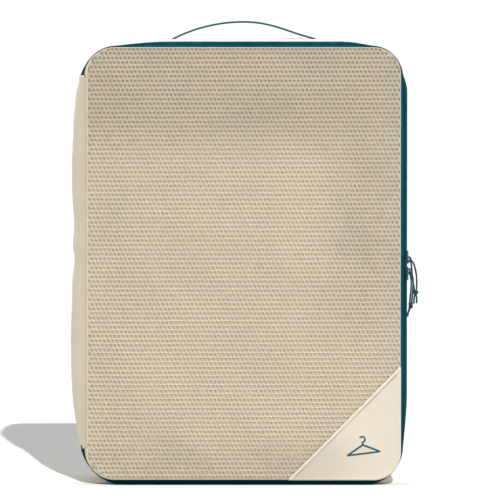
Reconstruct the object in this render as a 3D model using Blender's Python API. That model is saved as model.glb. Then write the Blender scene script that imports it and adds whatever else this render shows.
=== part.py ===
"""Packing cube: a soft zipped case with a mesh front flap, a fabric spine that the flap
hinges on, a double-slider zip, cord pulls and a webbing grab handle on top.

Metres, +Z up. The front faces -Y and the case stands on its bottom gusset at Z = 0.
"""

import math

import bmesh
import bpy
from mathutils import Vector

# Driving dimensions
PANEL_X = 0.00155  # middle of the front panel, which centres the whole case on X = 0
PANEL_BOTTOM = 0.0054
PANEL_W = 0.283
PANEL_H = 0.391
CORNER_R = 0.024
DEPTH = 0.100
PANEL_TOP = PANEL_BOTTOM + PANEL_H
PANEL_MID = PANEL_BOTTOM + PANEL_H / 2

# How far each wall swells past the front seam: at the corners, and between them
CORNER_SWELL = {"left": 0.0066, "top": 0.0015, "right": 0.0010, "bottom": 0.0015}
LEAST_SWELL = 0.0006  # half-way round a corner
FULL_SWELL = {"left": 0.0140, "top": 0.0056, "right": 0.0070, "bottom": 0.0054}
# How far the wall takes to swell out from a side's two ends, going clockwise
SWELL_LENGTH = {
    "left": (0.082, 0.082),
    "top": (0.030, 0.030),
    "right": (0.016, 0.056),
    "bottom": (0.034, 0.034),
}
FRONT_SEAM = -0.0480
SWELL_RISE = 0.0280  # depth over which the wall comes out from the front seam
BOTTOM_RISE = 0.0240  # the same where the case stands on the floor
SWELL_FALL = 0.0140  # depth over which it goes back in to the back seam
BACK_SWELL = 0.35  # share of the swell left at the back seam

GAP = 0.0003
FABRIC = 0.0012
TAPE = 0.0007
PATCH = 0.0008
HEM = 0.0007
COIL = 0.0020
WEBBING = 0.0015

# Front to back: hem, patch, mesh panel, zip tape, coil, coil, zip tape, gusset, back panel
HEM_FRONT = -DEPTH / 2
PATCH_FRONT = HEM_FRONT + HEM + GAP
MESH_FRONT = PATCH_FRONT + PATCH + GAP
WALL_FRONT = MESH_FRONT + FABRIC + GAP
ZIP_Y = -0.0335
COIL_SPLIT = 0.0014  # room between the two coil halves for a slider's post
COIL_WIDTH = 0.0023
TAPE_BACK = -0.0200
BACK_FRONT = DEPTH / 2 - FABRIC
WALL_BACK = BACK_FRONT - GAP

ZIP_END_TOP = 0.3690
ZIP_END_BOTTOM = 0.0350
STOP_LENGTH = 0.0030
STOP_CLEARANCE = 0.0006  # keeps the stops out of the flap's way as it swings

SLIDER_LENGTH = 0.0120
SLIDER_WIDTH = 0.0086
SLIDER_PLATE = 0.0011
SLIDER_CHANNEL = 0.0040
BRIDGE_HOLE = 0.0022
BRIDGE_TOP = 0.0007
BRIDGE_LENGTH = 0.0076
BRIDGE_WIDTH = 0.0024
BRIDGE_LEG = 0.0013
POST_WIDTH = 0.0008
POST_LENGTH = 0.0036
POST_BACK = 0.0026  # from the nose to the middle of the post
SINK = 0.0002  # how far shapes that are joined run into each other
SLIDER_UPPER_Z = 0.2062
SLIDER_LOWER_Z = 0.1918
UPPER_NOSE = -1
LOWER_NOSE = 1
BRIDGE_SHIFT = 0.0018  # the bridge stands nearer the nose, where the two sliders meet

CORD_D = 0.0016
KNOT_R = 0.0026
# Each loop of cord runs from its knot, through the slider's bridge and back to the knot.
UPPER_LOOP = [
    (0.1584, -0.0291, 0.1769),
    (0.1587, -0.0285, 0.1830),
    (0.1584, -0.0285, 0.1888),
    (0.1577, -0.0294, 0.1935),
    (0.1568, -0.0313, 0.1974),
    (0.1558, -0.0340, 0.2003),
    (0.1545, -0.0362, 0.2024),
    (0.1532, -0.0367, 0.2039),
    (0.1522, -0.0355, 0.2044),
    (0.1520, -0.0335, 0.2044),
    (0.1523, -0.0313, 0.2042),
    (0.1530, -0.0297, 0.2030),
    (0.1536, -0.0285, 0.2002),
    (0.1540, -0.0278, 0.1958),
    (0.1546, -0.0275, 0.1898),
    (0.1555, -0.0275, 0.1832),
    (0.1564, -0.0280, 0.1769),
]
LOWER_LOOP = [
    (0.1538, -0.0389, 0.1661),
    (0.1545, -0.0386, 0.1730),
    (0.1551, -0.0383, 0.1800),
    (0.1551, -0.0381, 0.1860),
    (0.1542, -0.0378, 0.1900),
    (0.1529, -0.0370, 0.1924),
    (0.1521, -0.0357, 0.1935),
    (0.1520, -0.0335, 0.1936),
    (0.1521, -0.0314, 0.1932),
    (0.1525, -0.0307, 0.1912),
    (0.1530, -0.0309, 0.1888),
    (0.1534, -0.0322, 0.1856),
    (0.1535, -0.0343, 0.1806),
    (0.1528, -0.0362, 0.1730),
    (0.1520, -0.0378, 0.1661),
]
UPPER_KNOT = (0.1575, -0.0286, 0.1738)
LOWER_KNOT = (0.1529, -0.0384, 0.1630)
UPPER_TAILS = [
    [(0.1584, -0.0292, 0.1706), (0.1587, -0.0295, 0.1672), (0.1585, -0.0297, 0.1642)],
    [(0.1566, -0.0280, 0.1706), (0.1562, -0.0277, 0.1670), (0.1560, -0.0276, 0.1638)],
]
LOWER_TAILS = [
    [(0.1522, -0.0391, 0.1599), (0.1506, -0.0400, 0.1566), (0.1488, -0.0405, 0.1536)],
    [(0.1516, -0.0376, 0.1600), (0.1507, -0.0377, 0.1562), (0.1500, -0.0378, 0.1526)],
]

HANDLE_SPAN = 0.1295
HANDLE_RISE = 0.0155
HANDLE_WIDTH = 0.0220
HANDLE_BASE = 0.4043  # middle of the webbing where it leaves the gusset
HANDLE_FREE = 0.0470  # the arch is free to tilt up to here, either side of its middle
HANDLE_TAB = 0.0060  # the sewn-down end past the arch
HANDLE_SINK = 0.0005

PATCH_WIDTH = 0.1016  # along the panel's bottom edge, from the right-hand side
PATCH_HEIGHT = 0.1026  # up its right-hand edge
HEM_WIDTH = 0.0032
HINGE_TAPE_WIDTH = 0.0032
BINDING_WIDTH = 0.0080
BINDING = 0.0009
BINDING_INSET = 0.0020

ARC_STEPS = 5
LEFT_STEPS = 7
SIDE_STEPS = 14
ACROSS_STEPS = 10

CREAM = (0.80, 0.72, 0.60)
SAND = (0.62, 0.53, 0.40)
TEAL = (0.012, 0.085, 0.108)
WEB_TEAL = (0.030, 0.090, 0.110)

PARTS = "packing_cube"
GUIDES = "guides"


def clear_scene():
    for old in list(bpy.data.objects):
        bpy.data.objects.remove(old)
    for name in (PARTS, GUIDES):
        group = bpy.data.collections.new(name)
        bpy.context.scene.collection.children.link(group)


def material(name, color, roughness, metallic=0.0):
    made = bpy.data.materials.get(name) or bpy.data.materials.new(name)
    made.use_nodes = True
    shader = made.node_tree.nodes["Principled BSDF"]
    shader.inputs["Base Color"].default_value = (*color, 1.0)
    shader.inputs["Roughness"].default_value = roughness
    shader.inputs["Metallic"].default_value = metallic
    return made


def add_object(name, data, finish, group=PARTS):
    made = bpy.data.objects.new(name, data)
    bpy.data.collections[group].objects.link(made)
    if finish:
        data.materials.append(finish)
    return made


# The case's edge, walked clockwise as seen from the front, from the middle of the left side
LEFT_RUN = PANEL_H / 2 - CORNER_R
TOP_RUN = PANEL_W - 2 * CORNER_R
SIDE_RUN = PANEL_H - 2 * CORNER_R
ARC_RUN = CORNER_R * math.pi / 2
RUNS = [
    ("left", LEFT_RUN, LEFT_STEPS),
    ("top_left", ARC_RUN, ARC_STEPS),
    ("top", TOP_RUN, ACROSS_STEPS),
    ("top_right", ARC_RUN, ARC_STEPS),
    ("right", SIDE_RUN, SIDE_STEPS),
    ("bottom_right", ARC_RUN, ARC_STEPS),
    ("bottom", TOP_RUN, ACROSS_STEPS),
    ("bottom_left", ARC_RUN, ARC_STEPS),
    ("left", LEFT_RUN, LEFT_STEPS),
]
AROUND = sum(length for _, length, _ in RUNS)


def run_start(index):
    return sum(length for _, length, _ in RUNS[:index])


def side_swell(side, from_start, from_end):
    low = CORNER_SWELL[side]
    first, last = SWELL_LENGTH[side]
    share = min(from_start / first, from_end / last, 1.0)
    return low + (FULL_SWELL[side] - low) * math.sin(max(share, 0.0) * math.pi / 2)


def edge_at(distance):
    """The edge's place (x, z), its outward direction and the wall's full swell there."""
    distance %= AROUND
    for index, (name, length, _) in enumerate(RUNS):
        along = distance - run_start(index)
        if along <= length + 1e-9:
            break
    half_w = PANEL_W / 2
    half_h = PANEL_H / 2
    if index == 0:
        return (-half_w, along), (-1, 0), side_swell("left", PANEL_H, length - along)
    if index == 8:
        return (-half_w, along - length), (-1, 0), side_swell("left", along, PANEL_H)
    rest = length - along
    if name == "top":
        return (along - length / 2, half_h), (0, 1), side_swell(name, along, rest)
    if name == "right":
        return (half_w, length / 2 - along), (1, 0), side_swell(name, along, rest)
    if name == "bottom":
        return (length / 2 - along, -half_h), (0, -1), side_swell(name, along, rest)
    before = RUNS[index - 1][0]
    after = RUNS[index + 1][0]
    share = along / length
    angle = math.pi - (index - 1) / 2 * math.pi / 2 - share * math.pi / 2
    out = (math.cos(angle), math.sin(angle))
    centre_x = math.copysign(half_w - CORNER_R, 1 if "right" in name else -1)
    centre_z = math.copysign(half_h - CORNER_R, 1 if "top" in name else -1)
    place = (centre_x + CORNER_R * out[0], centre_z + CORNER_R * out[1])
    swell = LEAST_SWELL + (CORNER_SWELL[before] - LEAST_SWELL) * (1 - share) ** 3
    swell += (CORNER_SWELL[after] - LEAST_SWELL) * share**3
    return place, out, swell


def swell_share(y, down):
    """How much of the full swell the wall has at a depth; down is 1 where it faces the floor."""
    length = SWELL_RISE + (BOTTOM_RISE - SWELL_RISE) * down**2
    rise = min(max((y - FRONT_SEAM) / length, 0.0), 1.0)
    fall = min(max((y - (DEPTH / 2 - SWELL_FALL)) / SWELL_FALL, 0.0), 1.0)
    back = 1 - (1 - BACK_SWELL) * (1 - math.cos(fall * math.pi / 2))
    return math.sin(rise * math.pi / 2) * back


def wall_point(distance, y, lift=0.0):
    place, out, swell = edge_at(distance)
    stand = swell * swell_share(y, max(-out[1], 0.0)) + lift
    return Vector((PANEL_X + place[0] + out[0] * stand, y, PANEL_MID + place[1] + out[1] * stand))


def marks(start, end):
    """Distances along the edge from start to end, at each bend and at even steps between."""
    places = []
    for turn in (-1, 0, 1):
        for index, (_, length, steps) in enumerate(RUNS):
            first = run_start(index) + turn * AROUND
            places += [first + length * step / steps for step in range(steps)]
    inner = [place for place in sorted(places) if start + 0.002 < place < end - 0.002]
    return [start, *inner, end]


def slab(form, columns, rows):
    """A flat grid of unit steps at Z = 0 with its other side at Z = -1, ready to be bent."""
    bmesh.ops.create_grid(form, x_segments=columns, y_segments=rows, size=0.5)
    for vert in form.verts:
        vert.co = ((vert.co.x + 0.5) * columns, (vert.co.y + 0.5) * rows, 0)
    raised = bmesh.ops.extrude_face_region(form, geom=form.faces[:])
    for vert in raised["geom"]:
        if isinstance(vert, bmesh.types.BMVert):
            vert.co.z = -1
    bmesh.ops.recalc_face_normals(form, faces=form.faces[:])


def bent_slab(name, columns, rows, place, finish):
    """A slab whose grid points go where place(column, row, layer) says; layer 1 is inside."""
    mesh = bpy.data.meshes.new(name)
    form = bmesh.new()
    slab(form, columns, rows)
    for vert in form.verts:
        vert.co = place(round(vert.co.x), round(vert.co.y), -round(vert.co.z))
    form.to_mesh(mesh)
    form.free()
    return add_object(name, mesh, finish)


def wall_strip(name, span, depths, thickness, finish, lift=0.0):
    """A strip of the case's wall between two distances along the edge."""
    along = marks(*span)

    def place(column, row, layer):
        return wall_point(along[column], depths[row], lift - layer * thickness)

    return bent_slab(name, len(along) - 1, len(depths) - 1, place, finish)


def outline_curve(name, points, front, thickness, finish):
    """A flat piece in the XZ plane from its closed outline."""
    data = bpy.data.curves.new(name, "CURVE")
    data.dimensions = "2D"
    data.fill_mode = "BOTH"
    data.extrude = thickness / 2
    spline = data.splines.new("POLY")
    spline.points.add(len(points) - 1)
    for point, (x, z) in zip(spline.points, points, strict=True):
        point.co = (x, z, 0, 1)
    spline.use_cyclic_u = True
    piece = add_object(name, data, finish)
    piece.rotation_euler = (math.pi / 2, 0, 0)
    piece.location = (0, front + thickness / 2, 0)
    return piece


def outline(start, end, y):
    """The wall's outline at a depth, anticlockwise as seen from the front."""
    points = [wall_point(distance, y) for distance in reversed(marks(start, end))]
    return [(point.x, point.z) for point in points]


def side_distance(z):
    """The distance along the edge of a height on the left side."""
    return z - PANEL_MID


def corner_middle(index):
    return run_start(index) + ARC_RUN / 2


def box_mesh(name, low, high, bevel=0.0):
    """A box between two corners, with its edges rounded off."""
    mesh = bpy.data.meshes.new(name)
    form = bmesh.new()
    bmesh.ops.create_cube(form, size=1)
    low = Vector(low)
    high = Vector(high)
    for vert in form.verts:
        vert.co = (low + high) / 2 + Vector(a * b for a, b in zip(vert.co, high - low, strict=True))
    if bevel:
        bmesh.ops.bevel(
            form, geom=form.edges[:], offset=bevel, segments=1, profile=0.5, affect="EDGES"
        )
    form.to_mesh(mesh)
    form.free()
    return mesh


def make_panels():
    mesh_cloth = material("flap_mesh", SAND, 0.85)
    cloth = material("case_cloth", CREAM, 0.8)
    front = outline(0, AROUND, FRONT_SEAM)[:-1]
    back = outline(0, AROUND, WALL_BACK)[:-1]
    outline_curve("mesh_panel", front, MESH_FRONT, FABRIC, mesh_cloth)
    outline_curve("back_panel", back, BACK_FRONT, FABRIC, cloth)
    end_top = side_distance(ZIP_END_TOP)
    end_bottom = side_distance(ZIP_END_BOTTOM)
    top_right = corner_middle(3)
    bottom_right = corner_middle(5)
    behind = [TAPE_BACK + GAP, -0.006, DEPTH / 2 - SWELL_FALL, 0.043, WALL_BACK]
    wall_strip("gusset_top", (end_top + GAP, top_right - GAP / 2), behind, FABRIC, cloth)
    wall_strip("gusset_right", (top_right + GAP / 2, bottom_right - GAP / 2), behind, FABRIC, cloth)
    last = AROUND + end_bottom - GAP
    wall_strip("gusset_bottom", (bottom_right + GAP / 2, last), behind, FABRIC, cloth)
    spine_depths = [WALL_FRONT, -0.040, -0.033, -0.026, *behind[1:]]
    wall_strip("spine", (end_bottom, end_top), spine_depths, FABRIC, cloth)


def make_patch():
    cloth = material("patch_cloth", CREAM, 0.75)
    hem_cloth = material("hem_cloth", CREAM, 0.7)
    right = PANEL_X + PANEL_W / 2
    start = run_start(5) - (PATCH_HEIGHT - CORNER_R)
    end = run_start(6) + (PATCH_WIDTH - CORNER_R)
    corner = outline(start, end, FRONT_SEAM)
    outline_curve("corner_patch", corner, PATCH_FRONT, PATCH, cloth)
    hem_across = HEM_WIDTH * math.hypot(PATCH_WIDTH, PATCH_HEIGHT) / PATCH_HEIGHT
    hem_up = HEM_WIDTH * math.hypot(PATCH_WIDTH, PATCH_HEIGHT) / PATCH_WIDTH
    hem = [
        (right - PATCH_WIDTH, PANEL_BOTTOM),
        (right - PATCH_WIDTH + hem_across, PANEL_BOTTOM),
        (right, PANEL_BOTTOM + PATCH_HEIGHT - hem_up),
        (right, PANEL_BOTTOM + PATCH_HEIGHT),
    ]
    outline_curve("patch_hem", hem, HEM_FRONT, HEM, hem_cloth)
    left = PANEL_X - PANEL_W / 2
    tape = [
        (left, ZIP_END_BOTTOM),
        (left + HINGE_TAPE_WIDTH, ZIP_END_BOTTOM),
        (left + HINGE_TAPE_WIDTH, ZIP_END_TOP),
        (left, ZIP_END_TOP),
    ]
    outline_curve("hinge_tape", tape, PATCH_FRONT, PATCH, hem_cloth)


def make_bindings():
    cloth = material("binding_cloth", CREAM, 0.8)
    start = side_distance(ZIP_END_TOP)
    end = AROUND + side_distance(ZIP_END_BOTTOM)
    depths = [WALL_FRONT, WALL_FRONT + BINDING_WIDTH]
    wall_strip("flap_binding", (start, end), depths, BINDING, cloth, lift=-BINDING_INSET)
    back = WALL_BACK - GAP
    depths = [back - BINDING_WIDTH, back - BINDING_WIDTH / 2, back]
    wall_strip("back_binding", (0, AROUND - GAP), depths, BINDING, cloth, lift=-BINDING_INSET)


def make_zip():
    tape = material("zip_tape", TEAL, 0.7)
    coil = material("zip_coil", TEAL, 0.4)
    start = side_distance(ZIP_END_TOP)
    end = AROUND + side_distance(ZIP_END_BOTTOM)
    front_coil = ZIP_Y - COIL_SPLIT / 2
    back_coil = ZIP_Y + COIL_SPLIT / 2
    front_depths = [WALL_FRONT, -0.0416, front_coil - COIL_WIDTH - GAP]
    back_depths = [back_coil + COIL_WIDTH + GAP, -0.0251, TAPE_BACK]
    wall_strip("zip_tape_flap", (start, end), front_depths, TAPE, tape)
    wall_strip("zip_tape_case", (start, end), back_depths, TAPE, tape)
    lift = (COIL - TAPE) / 2
    teeth = (start + STOP_LENGTH + GAP, end - STOP_LENGTH - GAP)
    wall_strip("zip_coil_flap", teeth, [front_coil - COIL_WIDTH, front_coil], COIL, coil, lift)
    wall_strip("zip_coil_case", teeth, [back_coil, back_coil + COIL_WIDTH], COIL, coil, lift)
    across = [front_coil - COIL_WIDTH + STOP_CLEARANCE, back_coil + COIL_WIDTH]
    stop_span = (start, start + STOP_LENGTH)
    wall_strip("zip_stop_top", stop_span, across, COIL + 2 * GAP, coil, lift + GAP)
    stop_span = (end - STOP_LENGTH, end)
    wall_strip("zip_stop_bottom", stop_span, across, COIL + 2 * GAP, coil, lift + GAP)


def zip_line_x():
    """The middle of the closed coil on the straight of the right-hand wall."""
    place = wall_point(run_start(4) + SIDE_RUN / 2, ZIP_Y)
    return place.x - TAPE / 2


def join(target, others):
    for index, other in enumerate(others):
        cut = target.modifiers.new(f"join_{index}", "BOOLEAN")
        cut.operation = "UNION"
        cut.object = other


def make_slider(name, z, nose):
    """A slider whose nose points up (+1) or down (-1): two plates, a post and a bridge."""
    metal = material("slider_metal", TEAL, 0.4, 0.2)
    x = zip_line_x()
    inside = SLIDER_CHANNEL / 2
    plate = inside + SLIDER_PLATE
    half_w = SLIDER_WIDTH / 2
    half_l = SLIDER_LENGTH / 2
    outer = box_mesh(
        name, (inside, -half_w, -half_l), (plate, half_w, half_l), bevel=0.0004
    )
    body = add_object(name, outer, metal)
    body.location = (x, ZIP_Y, z)
    bridge_z = nose * BRIDGE_SHIFT
    bridge_low = bridge_z - BRIDGE_LENGTH / 2
    bridge_high = bridge_z + BRIDGE_LENGTH / 2
    roof = plate + BRIDGE_HOLE
    post_mid = nose * (half_l - POST_BACK)
    half_b = BRIDGE_WIDTH / 2
    half_p = POST_WIDTH / 2
    low_leg = bridge_low + BRIDGE_LEG
    high_leg = bridge_high - BRIDGE_LEG
    shapes = {
        "inner_plate": ((-plate, -half_w, -half_l), (-inside, half_w, half_l)),
        "post": (
            (-inside - SINK, -half_p, post_mid - POST_LENGTH / 2),
            (inside + SINK, half_p, post_mid + POST_LENGTH / 2),
        ),
        "leg_low": ((plate - SINK, -half_b, bridge_low), (roof + SINK, half_b, low_leg)),
        "leg_high": ((plate - SINK, -half_b, high_leg), (roof + SINK, half_b, bridge_high)),
        "roof": (
            (roof, -half_b - SINK, bridge_low - SINK),
            (roof + BRIDGE_TOP, half_b + SINK, bridge_high + SINK),
        ),
    }
    added = []
    for label, (low, high) in shapes.items():
        guide = add_object(f"{name}_{label}", box_mesh(label, low, high), None, GUIDES)
        guide.location = body.location
        guide.hide_render = True
        guide.display_type = "WIRE"
        added.append(guide)
    join(body, added)
    return body


def rounded(points, steps):
    """Points on the Catmull-Rom curve through the given ones."""
    route = [Vector(point) for point in points]
    route = [2 * route[0] - route[1], *route, 2 * route[-1] - route[-2]]
    out = []
    for index in range(1, len(route) - 2):
        a, b, c, d = route[index - 1 : index + 3]
        for step in range(steps):
            t = step / steps
            bend = (2 * a - 5 * b + 4 * c - d) * t * t + (3 * b - a - 3 * c + d) * t**3
            out.append((2 * b + (c - a) * t + bend) / 2)
    return [*out, route[-2]]


def cord(name, points, steps, parent):
    data = bpy.data.curves.new(name, "CURVE")
    data.dimensions = "3D"
    data.bevel_depth = CORD_D / 2
    data.bevel_resolution = 2
    data.use_fill_caps = True
    spline = data.splines.new("POLY")
    places = rounded(points, steps)
    spline.points.add(len(places) - 1)
    for point, place in zip(spline.points, places, strict=True):
        point.co = (*(place - parent.location), 1)
    made = add_object(name, data, material("pull_cord", WEB_TEAL, 0.8))
    made.parent = parent
    return made


def pull_pivot(side, slider, nose):
    """The pull's axis, through the middle of the bridge's hole."""
    pivot = bpy.data.objects.new(f"pull_{side}_pivot", None)
    bpy.data.collections[GUIDES].objects.link(pivot)
    out = SLIDER_CHANNEL / 2 + SLIDER_PLATE + BRIDGE_HOLE / 2
    pivot.location = slider.location + Vector((out, 0, nose * BRIDGE_SHIFT))
    return pivot


def make_pull(side, pivot, loop, knot, tails):
    """A cord loop through a slider's bridge, tied in one knot with two short ends."""
    cord(f"pull_{side}_loop", loop, 2, pivot)
    mesh = bpy.data.meshes.new(f"pull_{side}_knot")
    ball = bmesh.new()
    bmesh.ops.create_uvsphere(ball, u_segments=10, v_segments=7, radius=KNOT_R)
    ball.to_mesh(mesh)
    ball.free()
    tied = add_object(f"pull_{side}_knot", mesh, material("pull_cord", WEB_TEAL, 0.8))
    tied.parent = pivot
    tied.location = Vector(knot) - pivot.location
    for label, points in zip(("front", "rear"), tails, strict=True):
        cord(f"pull_{side}_tail_{label}", points, 2, pivot)


def handle_height(across):
    """The webbing's middle above its base, on an arc through both ends."""
    radius = (HANDLE_SPAN**2 / 4 + HANDLE_RISE**2) / (2 * HANDLE_RISE)
    return math.sqrt(radius**2 - across**2) - (radius - HANDLE_RISE)


def webbing(name, profile, finish):
    """A strap from its middle line (x, z), as wide as the handle across the case's depth."""
    turns = [Vector((0, 1))] * len(profile)  # its ends are cut upright
    for index in range(1, len(profile) - 1):
        along = (Vector(profile[index + 1]) - Vector(profile[index - 1])).normalized()
        turns[index] = Vector((-along.y, along.x))

    def place(column, row, layer):
        x, z = Vector(profile[column]) + turns[column] * WEBBING * (0.5 - layer)
        return x, (row - 0.5) * HANDLE_WIDTH, z

    return bent_slab(name, len(profile) - 1, 1, place, finish)


def make_handle():
    web = material("handle_webbing", WEB_TEAL, 0.75)
    cloth = material("case_cloth", CREAM, 0.8)
    half = HANDLE_SPAN / 2
    steps = 12
    arch = [HANDLE_FREE * (2 * step / steps - 1) for step in range(steps + 1)]
    webbing(
        "handle_strap",
        [(PANEL_X + across, HANDLE_BASE + handle_height(across)) for across in arch],
        web,
    )
    free = HANDLE_FREE + GAP
    for label, way in (("left", -1), ("right", 1)):
        rise = [free, (free + half) / 2, half]
        line = [(PANEL_X + way * across, HANDLE_BASE + handle_height(across)) for across in rise]
        line.append((PANEL_X + way * (half + HANDLE_TAB), HANDLE_BASE - HANDLE_SINK))
        webbing(f"handle_end_{label}", line[::way], web)
    top = PANEL_TOP + FULL_SWELL["top"] + GAP
    low = (PANEL_X - half + 0.004, -0.013, top)
    high = (PANEL_X + half - 0.004, 0.013, top + 0.0009)
    add_object("handle_backing", box_mesh("handle_backing", low, high), cloth)


def main():
    clear_scene()
    make_panels()
    make_patch()
    make_bindings()
    make_zip()
    upper = make_slider("slider_upper", SLIDER_UPPER_Z, UPPER_NOSE)
    lower = make_slider("slider_lower", SLIDER_LOWER_Z, LOWER_NOSE)
    upper_pivot = pull_pivot("upper", upper, UPPER_NOSE)
    lower_pivot = pull_pivot("lower", lower, LOWER_NOSE)
    make_pull("upper", upper_pivot, UPPER_LOOP, UPPER_KNOT, UPPER_TAILS)
    make_pull("lower", lower_pivot, LOWER_LOOP, LOWER_KNOT, LOWER_TAILS)
    make_handle()


main()
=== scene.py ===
"""The looks of a packing cube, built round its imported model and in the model's own frame.

Metres, +Z up, and the front faces -Y. Every cloth piece carries a point attribute, CLOTH, that
gives its place on the flat cloth in millimetres, so that a weave follows the cloth round bends.
"""

import math

import bmesh
import bpy
import numpy as np
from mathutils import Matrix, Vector, noise


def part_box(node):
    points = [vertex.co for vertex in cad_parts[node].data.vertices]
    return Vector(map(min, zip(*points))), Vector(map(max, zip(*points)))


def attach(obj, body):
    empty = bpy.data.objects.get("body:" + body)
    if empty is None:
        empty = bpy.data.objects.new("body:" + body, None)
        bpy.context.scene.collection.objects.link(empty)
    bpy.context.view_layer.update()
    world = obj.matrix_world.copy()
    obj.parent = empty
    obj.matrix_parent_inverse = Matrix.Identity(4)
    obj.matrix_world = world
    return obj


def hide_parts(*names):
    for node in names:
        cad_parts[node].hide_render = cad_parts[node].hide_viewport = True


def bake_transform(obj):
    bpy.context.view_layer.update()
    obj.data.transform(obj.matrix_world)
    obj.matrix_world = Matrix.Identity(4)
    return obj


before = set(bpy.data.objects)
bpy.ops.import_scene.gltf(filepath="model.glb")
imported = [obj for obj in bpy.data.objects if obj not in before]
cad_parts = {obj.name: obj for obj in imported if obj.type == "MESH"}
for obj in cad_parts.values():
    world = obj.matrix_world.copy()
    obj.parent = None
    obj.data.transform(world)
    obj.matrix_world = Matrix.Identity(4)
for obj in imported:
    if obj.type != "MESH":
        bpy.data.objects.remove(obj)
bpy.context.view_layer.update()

# The case's own dimensions, as in the model
PANEL_X = 0.00155
PANEL_BOTTOM = 0.0054
PANEL_W = 0.283
PANEL_H = 0.391
CORNER_R = 0.024
DEPTH = 0.100
PANEL_TOP = PANEL_BOTTOM + PANEL_H
PANEL_MID = PANEL_BOTTOM + PANEL_H / 2
PANEL_RIGHT = PANEL_X + PANEL_W / 2

# How far the filled walls stand out from the panel's outline: least in the middle of a corner,
# CORNER_SWELL where a side begins, and FULL_SWELL from SWELL_LENGTH after its start to
# SWELL_LENGTH before its end, clockwise
CORNER_SWELL = {"left": 0.0066, "top": 0.0015, "right": 0.0028, "bottom": 0.0045}
LEAST_SWELL = 0.0006
FULL_SWELL = {"left": 0.0140, "top": 0.0056, "right": 0.0070, "bottom": 0.0054}
SWELL_LENGTH = {
    "left": (0.082, 0.082),
    "top": (0.050, 0.030),
    "right": (0.016, 0.056),
    "bottom": (0.012, 0.012),
}

# Across the depth, the swell grows over SWELL_RISE behind the front seam, or BOTTOM_RISE where
# the wall faces the floor, and falls to its BACK_SWELL share over SWELL_FALL before the back
FRONT_SEAM = -0.0480
SWELL_RISE = 0.0280
BOTTOM_RISE = 0.0045
SWELL_FALL = 0.0140
BACK_SWELL = 0.35

# Where the mesh, the walls, the zip, the hinge and the handle lie
MESH_FRONT = -0.0479
WALL_FRONT = -0.0464
WALL_BACK = 0.0485
ZIP_Y = -0.0335
ZIP_END_TOP = 0.3690
ZIP_END_BOTTOM = 0.0350
STOP_LENGTH = 0.0030
GAP = 0.0003
HINGE = (-0.13995, -0.0479)
PATCH_WIDTH = 0.1016
PATCH_HEIGHT = 0.1026
HANDLE_SPAN = 0.1295
HANDLE_RISE = 0.0155
HANDLE_WIDTH = 0.0220
HANDLE_BASE = 0.4043
WEBBING = 0.0015

# The pulls: where each cord leaves its slider, and the points its pieces run through
CORD_D = 0.0016
PULLS = {
    "upper": {
        "exit": (0.15199, -0.0335, 0.2044),
        "loop": [
            (0.1584, -0.0291, 0.1769), (0.1587, -0.0285, 0.1830), (0.1584, -0.0285, 0.1888),
            (0.1577, -0.0294, 0.1935), (0.1568, -0.0313, 0.1974), (0.1558, -0.0340, 0.2003),
            (0.1545, -0.0362, 0.2024), (0.1532, -0.0367, 0.2039), (0.1522, -0.0355, 0.2044),
            (0.1520, -0.0335, 0.2044), (0.1523, -0.0313, 0.2042), (0.1530, -0.0297, 0.2030),
            (0.1536, -0.0285, 0.2002), (0.1540, -0.0278, 0.1958), (0.1546, -0.0275, 0.1898),
            (0.1555, -0.0275, 0.1832), (0.1564, -0.0280, 0.1769),
        ],
        "knot": (0.1575, -0.0286, 0.1738),
        "tails": {
            "front": [
                (0.1584, -0.0292, 0.1706), (0.1587, -0.0295, 0.1672), (0.1585, -0.0297, 0.1642),
            ],
            "rear": [
                (0.1566, -0.0280, 0.1706), (0.1562, -0.0277, 0.1670), (0.1560, -0.0276, 0.1638),
            ],
        },
    },
    "lower": {
        "exit": (0.15199, -0.0335, 0.1936),
        "loop": [
            (0.1538, -0.0389, 0.1661), (0.1545, -0.0386, 0.1730), (0.1551, -0.0383, 0.1800),
            (0.1551, -0.0381, 0.1860), (0.1542, -0.0378, 0.1900), (0.1529, -0.0370, 0.1924),
            (0.1521, -0.0357, 0.1935), (0.1520, -0.0335, 0.1936), (0.1521, -0.0314, 0.1932),
            (0.1525, -0.0307, 0.1912), (0.1530, -0.0309, 0.1888), (0.1534, -0.0322, 0.1856),
            (0.1535, -0.0343, 0.1806), (0.1528, -0.0362, 0.1730), (0.1520, -0.0378, 0.1661),
        ],
        "knot": (0.1529, -0.0384, 0.1630),
        "tails": {
            "front": [
                (0.1522, -0.0391, 0.1599), (0.1506, -0.0400, 0.1566), (0.1488, -0.0405, 0.1536),
            ],
            "rear": [
                (0.1516, -0.0376, 0.1600), (0.1507, -0.0377, 0.1562), (0.1500, -0.0378, 0.1526),
            ],
        },
    },
}

# The camera stands far off and slightly above the middle of the front
VIEW_TARGET = Vector((0.0062, FRONT_SEAM, 0.2145))
VIEW_DISTANCE = 5.0
VIEW_ELEVATION = math.radians(2.6)
VIEW_WIDTH = 0.4507
SENSOR = 36.0

# Linear colours
CREAM = (0.72, 0.63, 0.475)
PATCH_CREAM = (0.618, 0.552, 0.448)
STRAND = (0.532, 0.457, 0.340)
BACKING = (0.76, 0.64, 0.455)
TEAL = (0.0030, 0.066, 0.088)
COIL_TEAL = (0.005, 0.060, 0.078)
WEB_TEAL = (0.030, 0.085, 0.105)
CORD_TEAL = (0.008, 0.056, 0.086)
METAL_TEAL = (0.012, 0.075, 0.100)

CLOTH = "cloth"
MM = 1000.0

# Stitches: pitch, length and width, and how far apart the points of a long seam's route are
WALL_STITCH = (0.0031, 0.0025, 0.00048)
ZIP_STITCH = (0.0026, 0.0020, 0.00036)
PATCH_STITCH = (0.0027, 0.00255, 0.00075)
HINGE_STITCH = (0.0031, 0.0024, 0.00042)
HANDLE_STITCH = (0.0030, 0.0024, 0.00045)
ROUTE_STEP = 0.006


# ---------------------------------------------------------------- camera, light and floor


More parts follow.
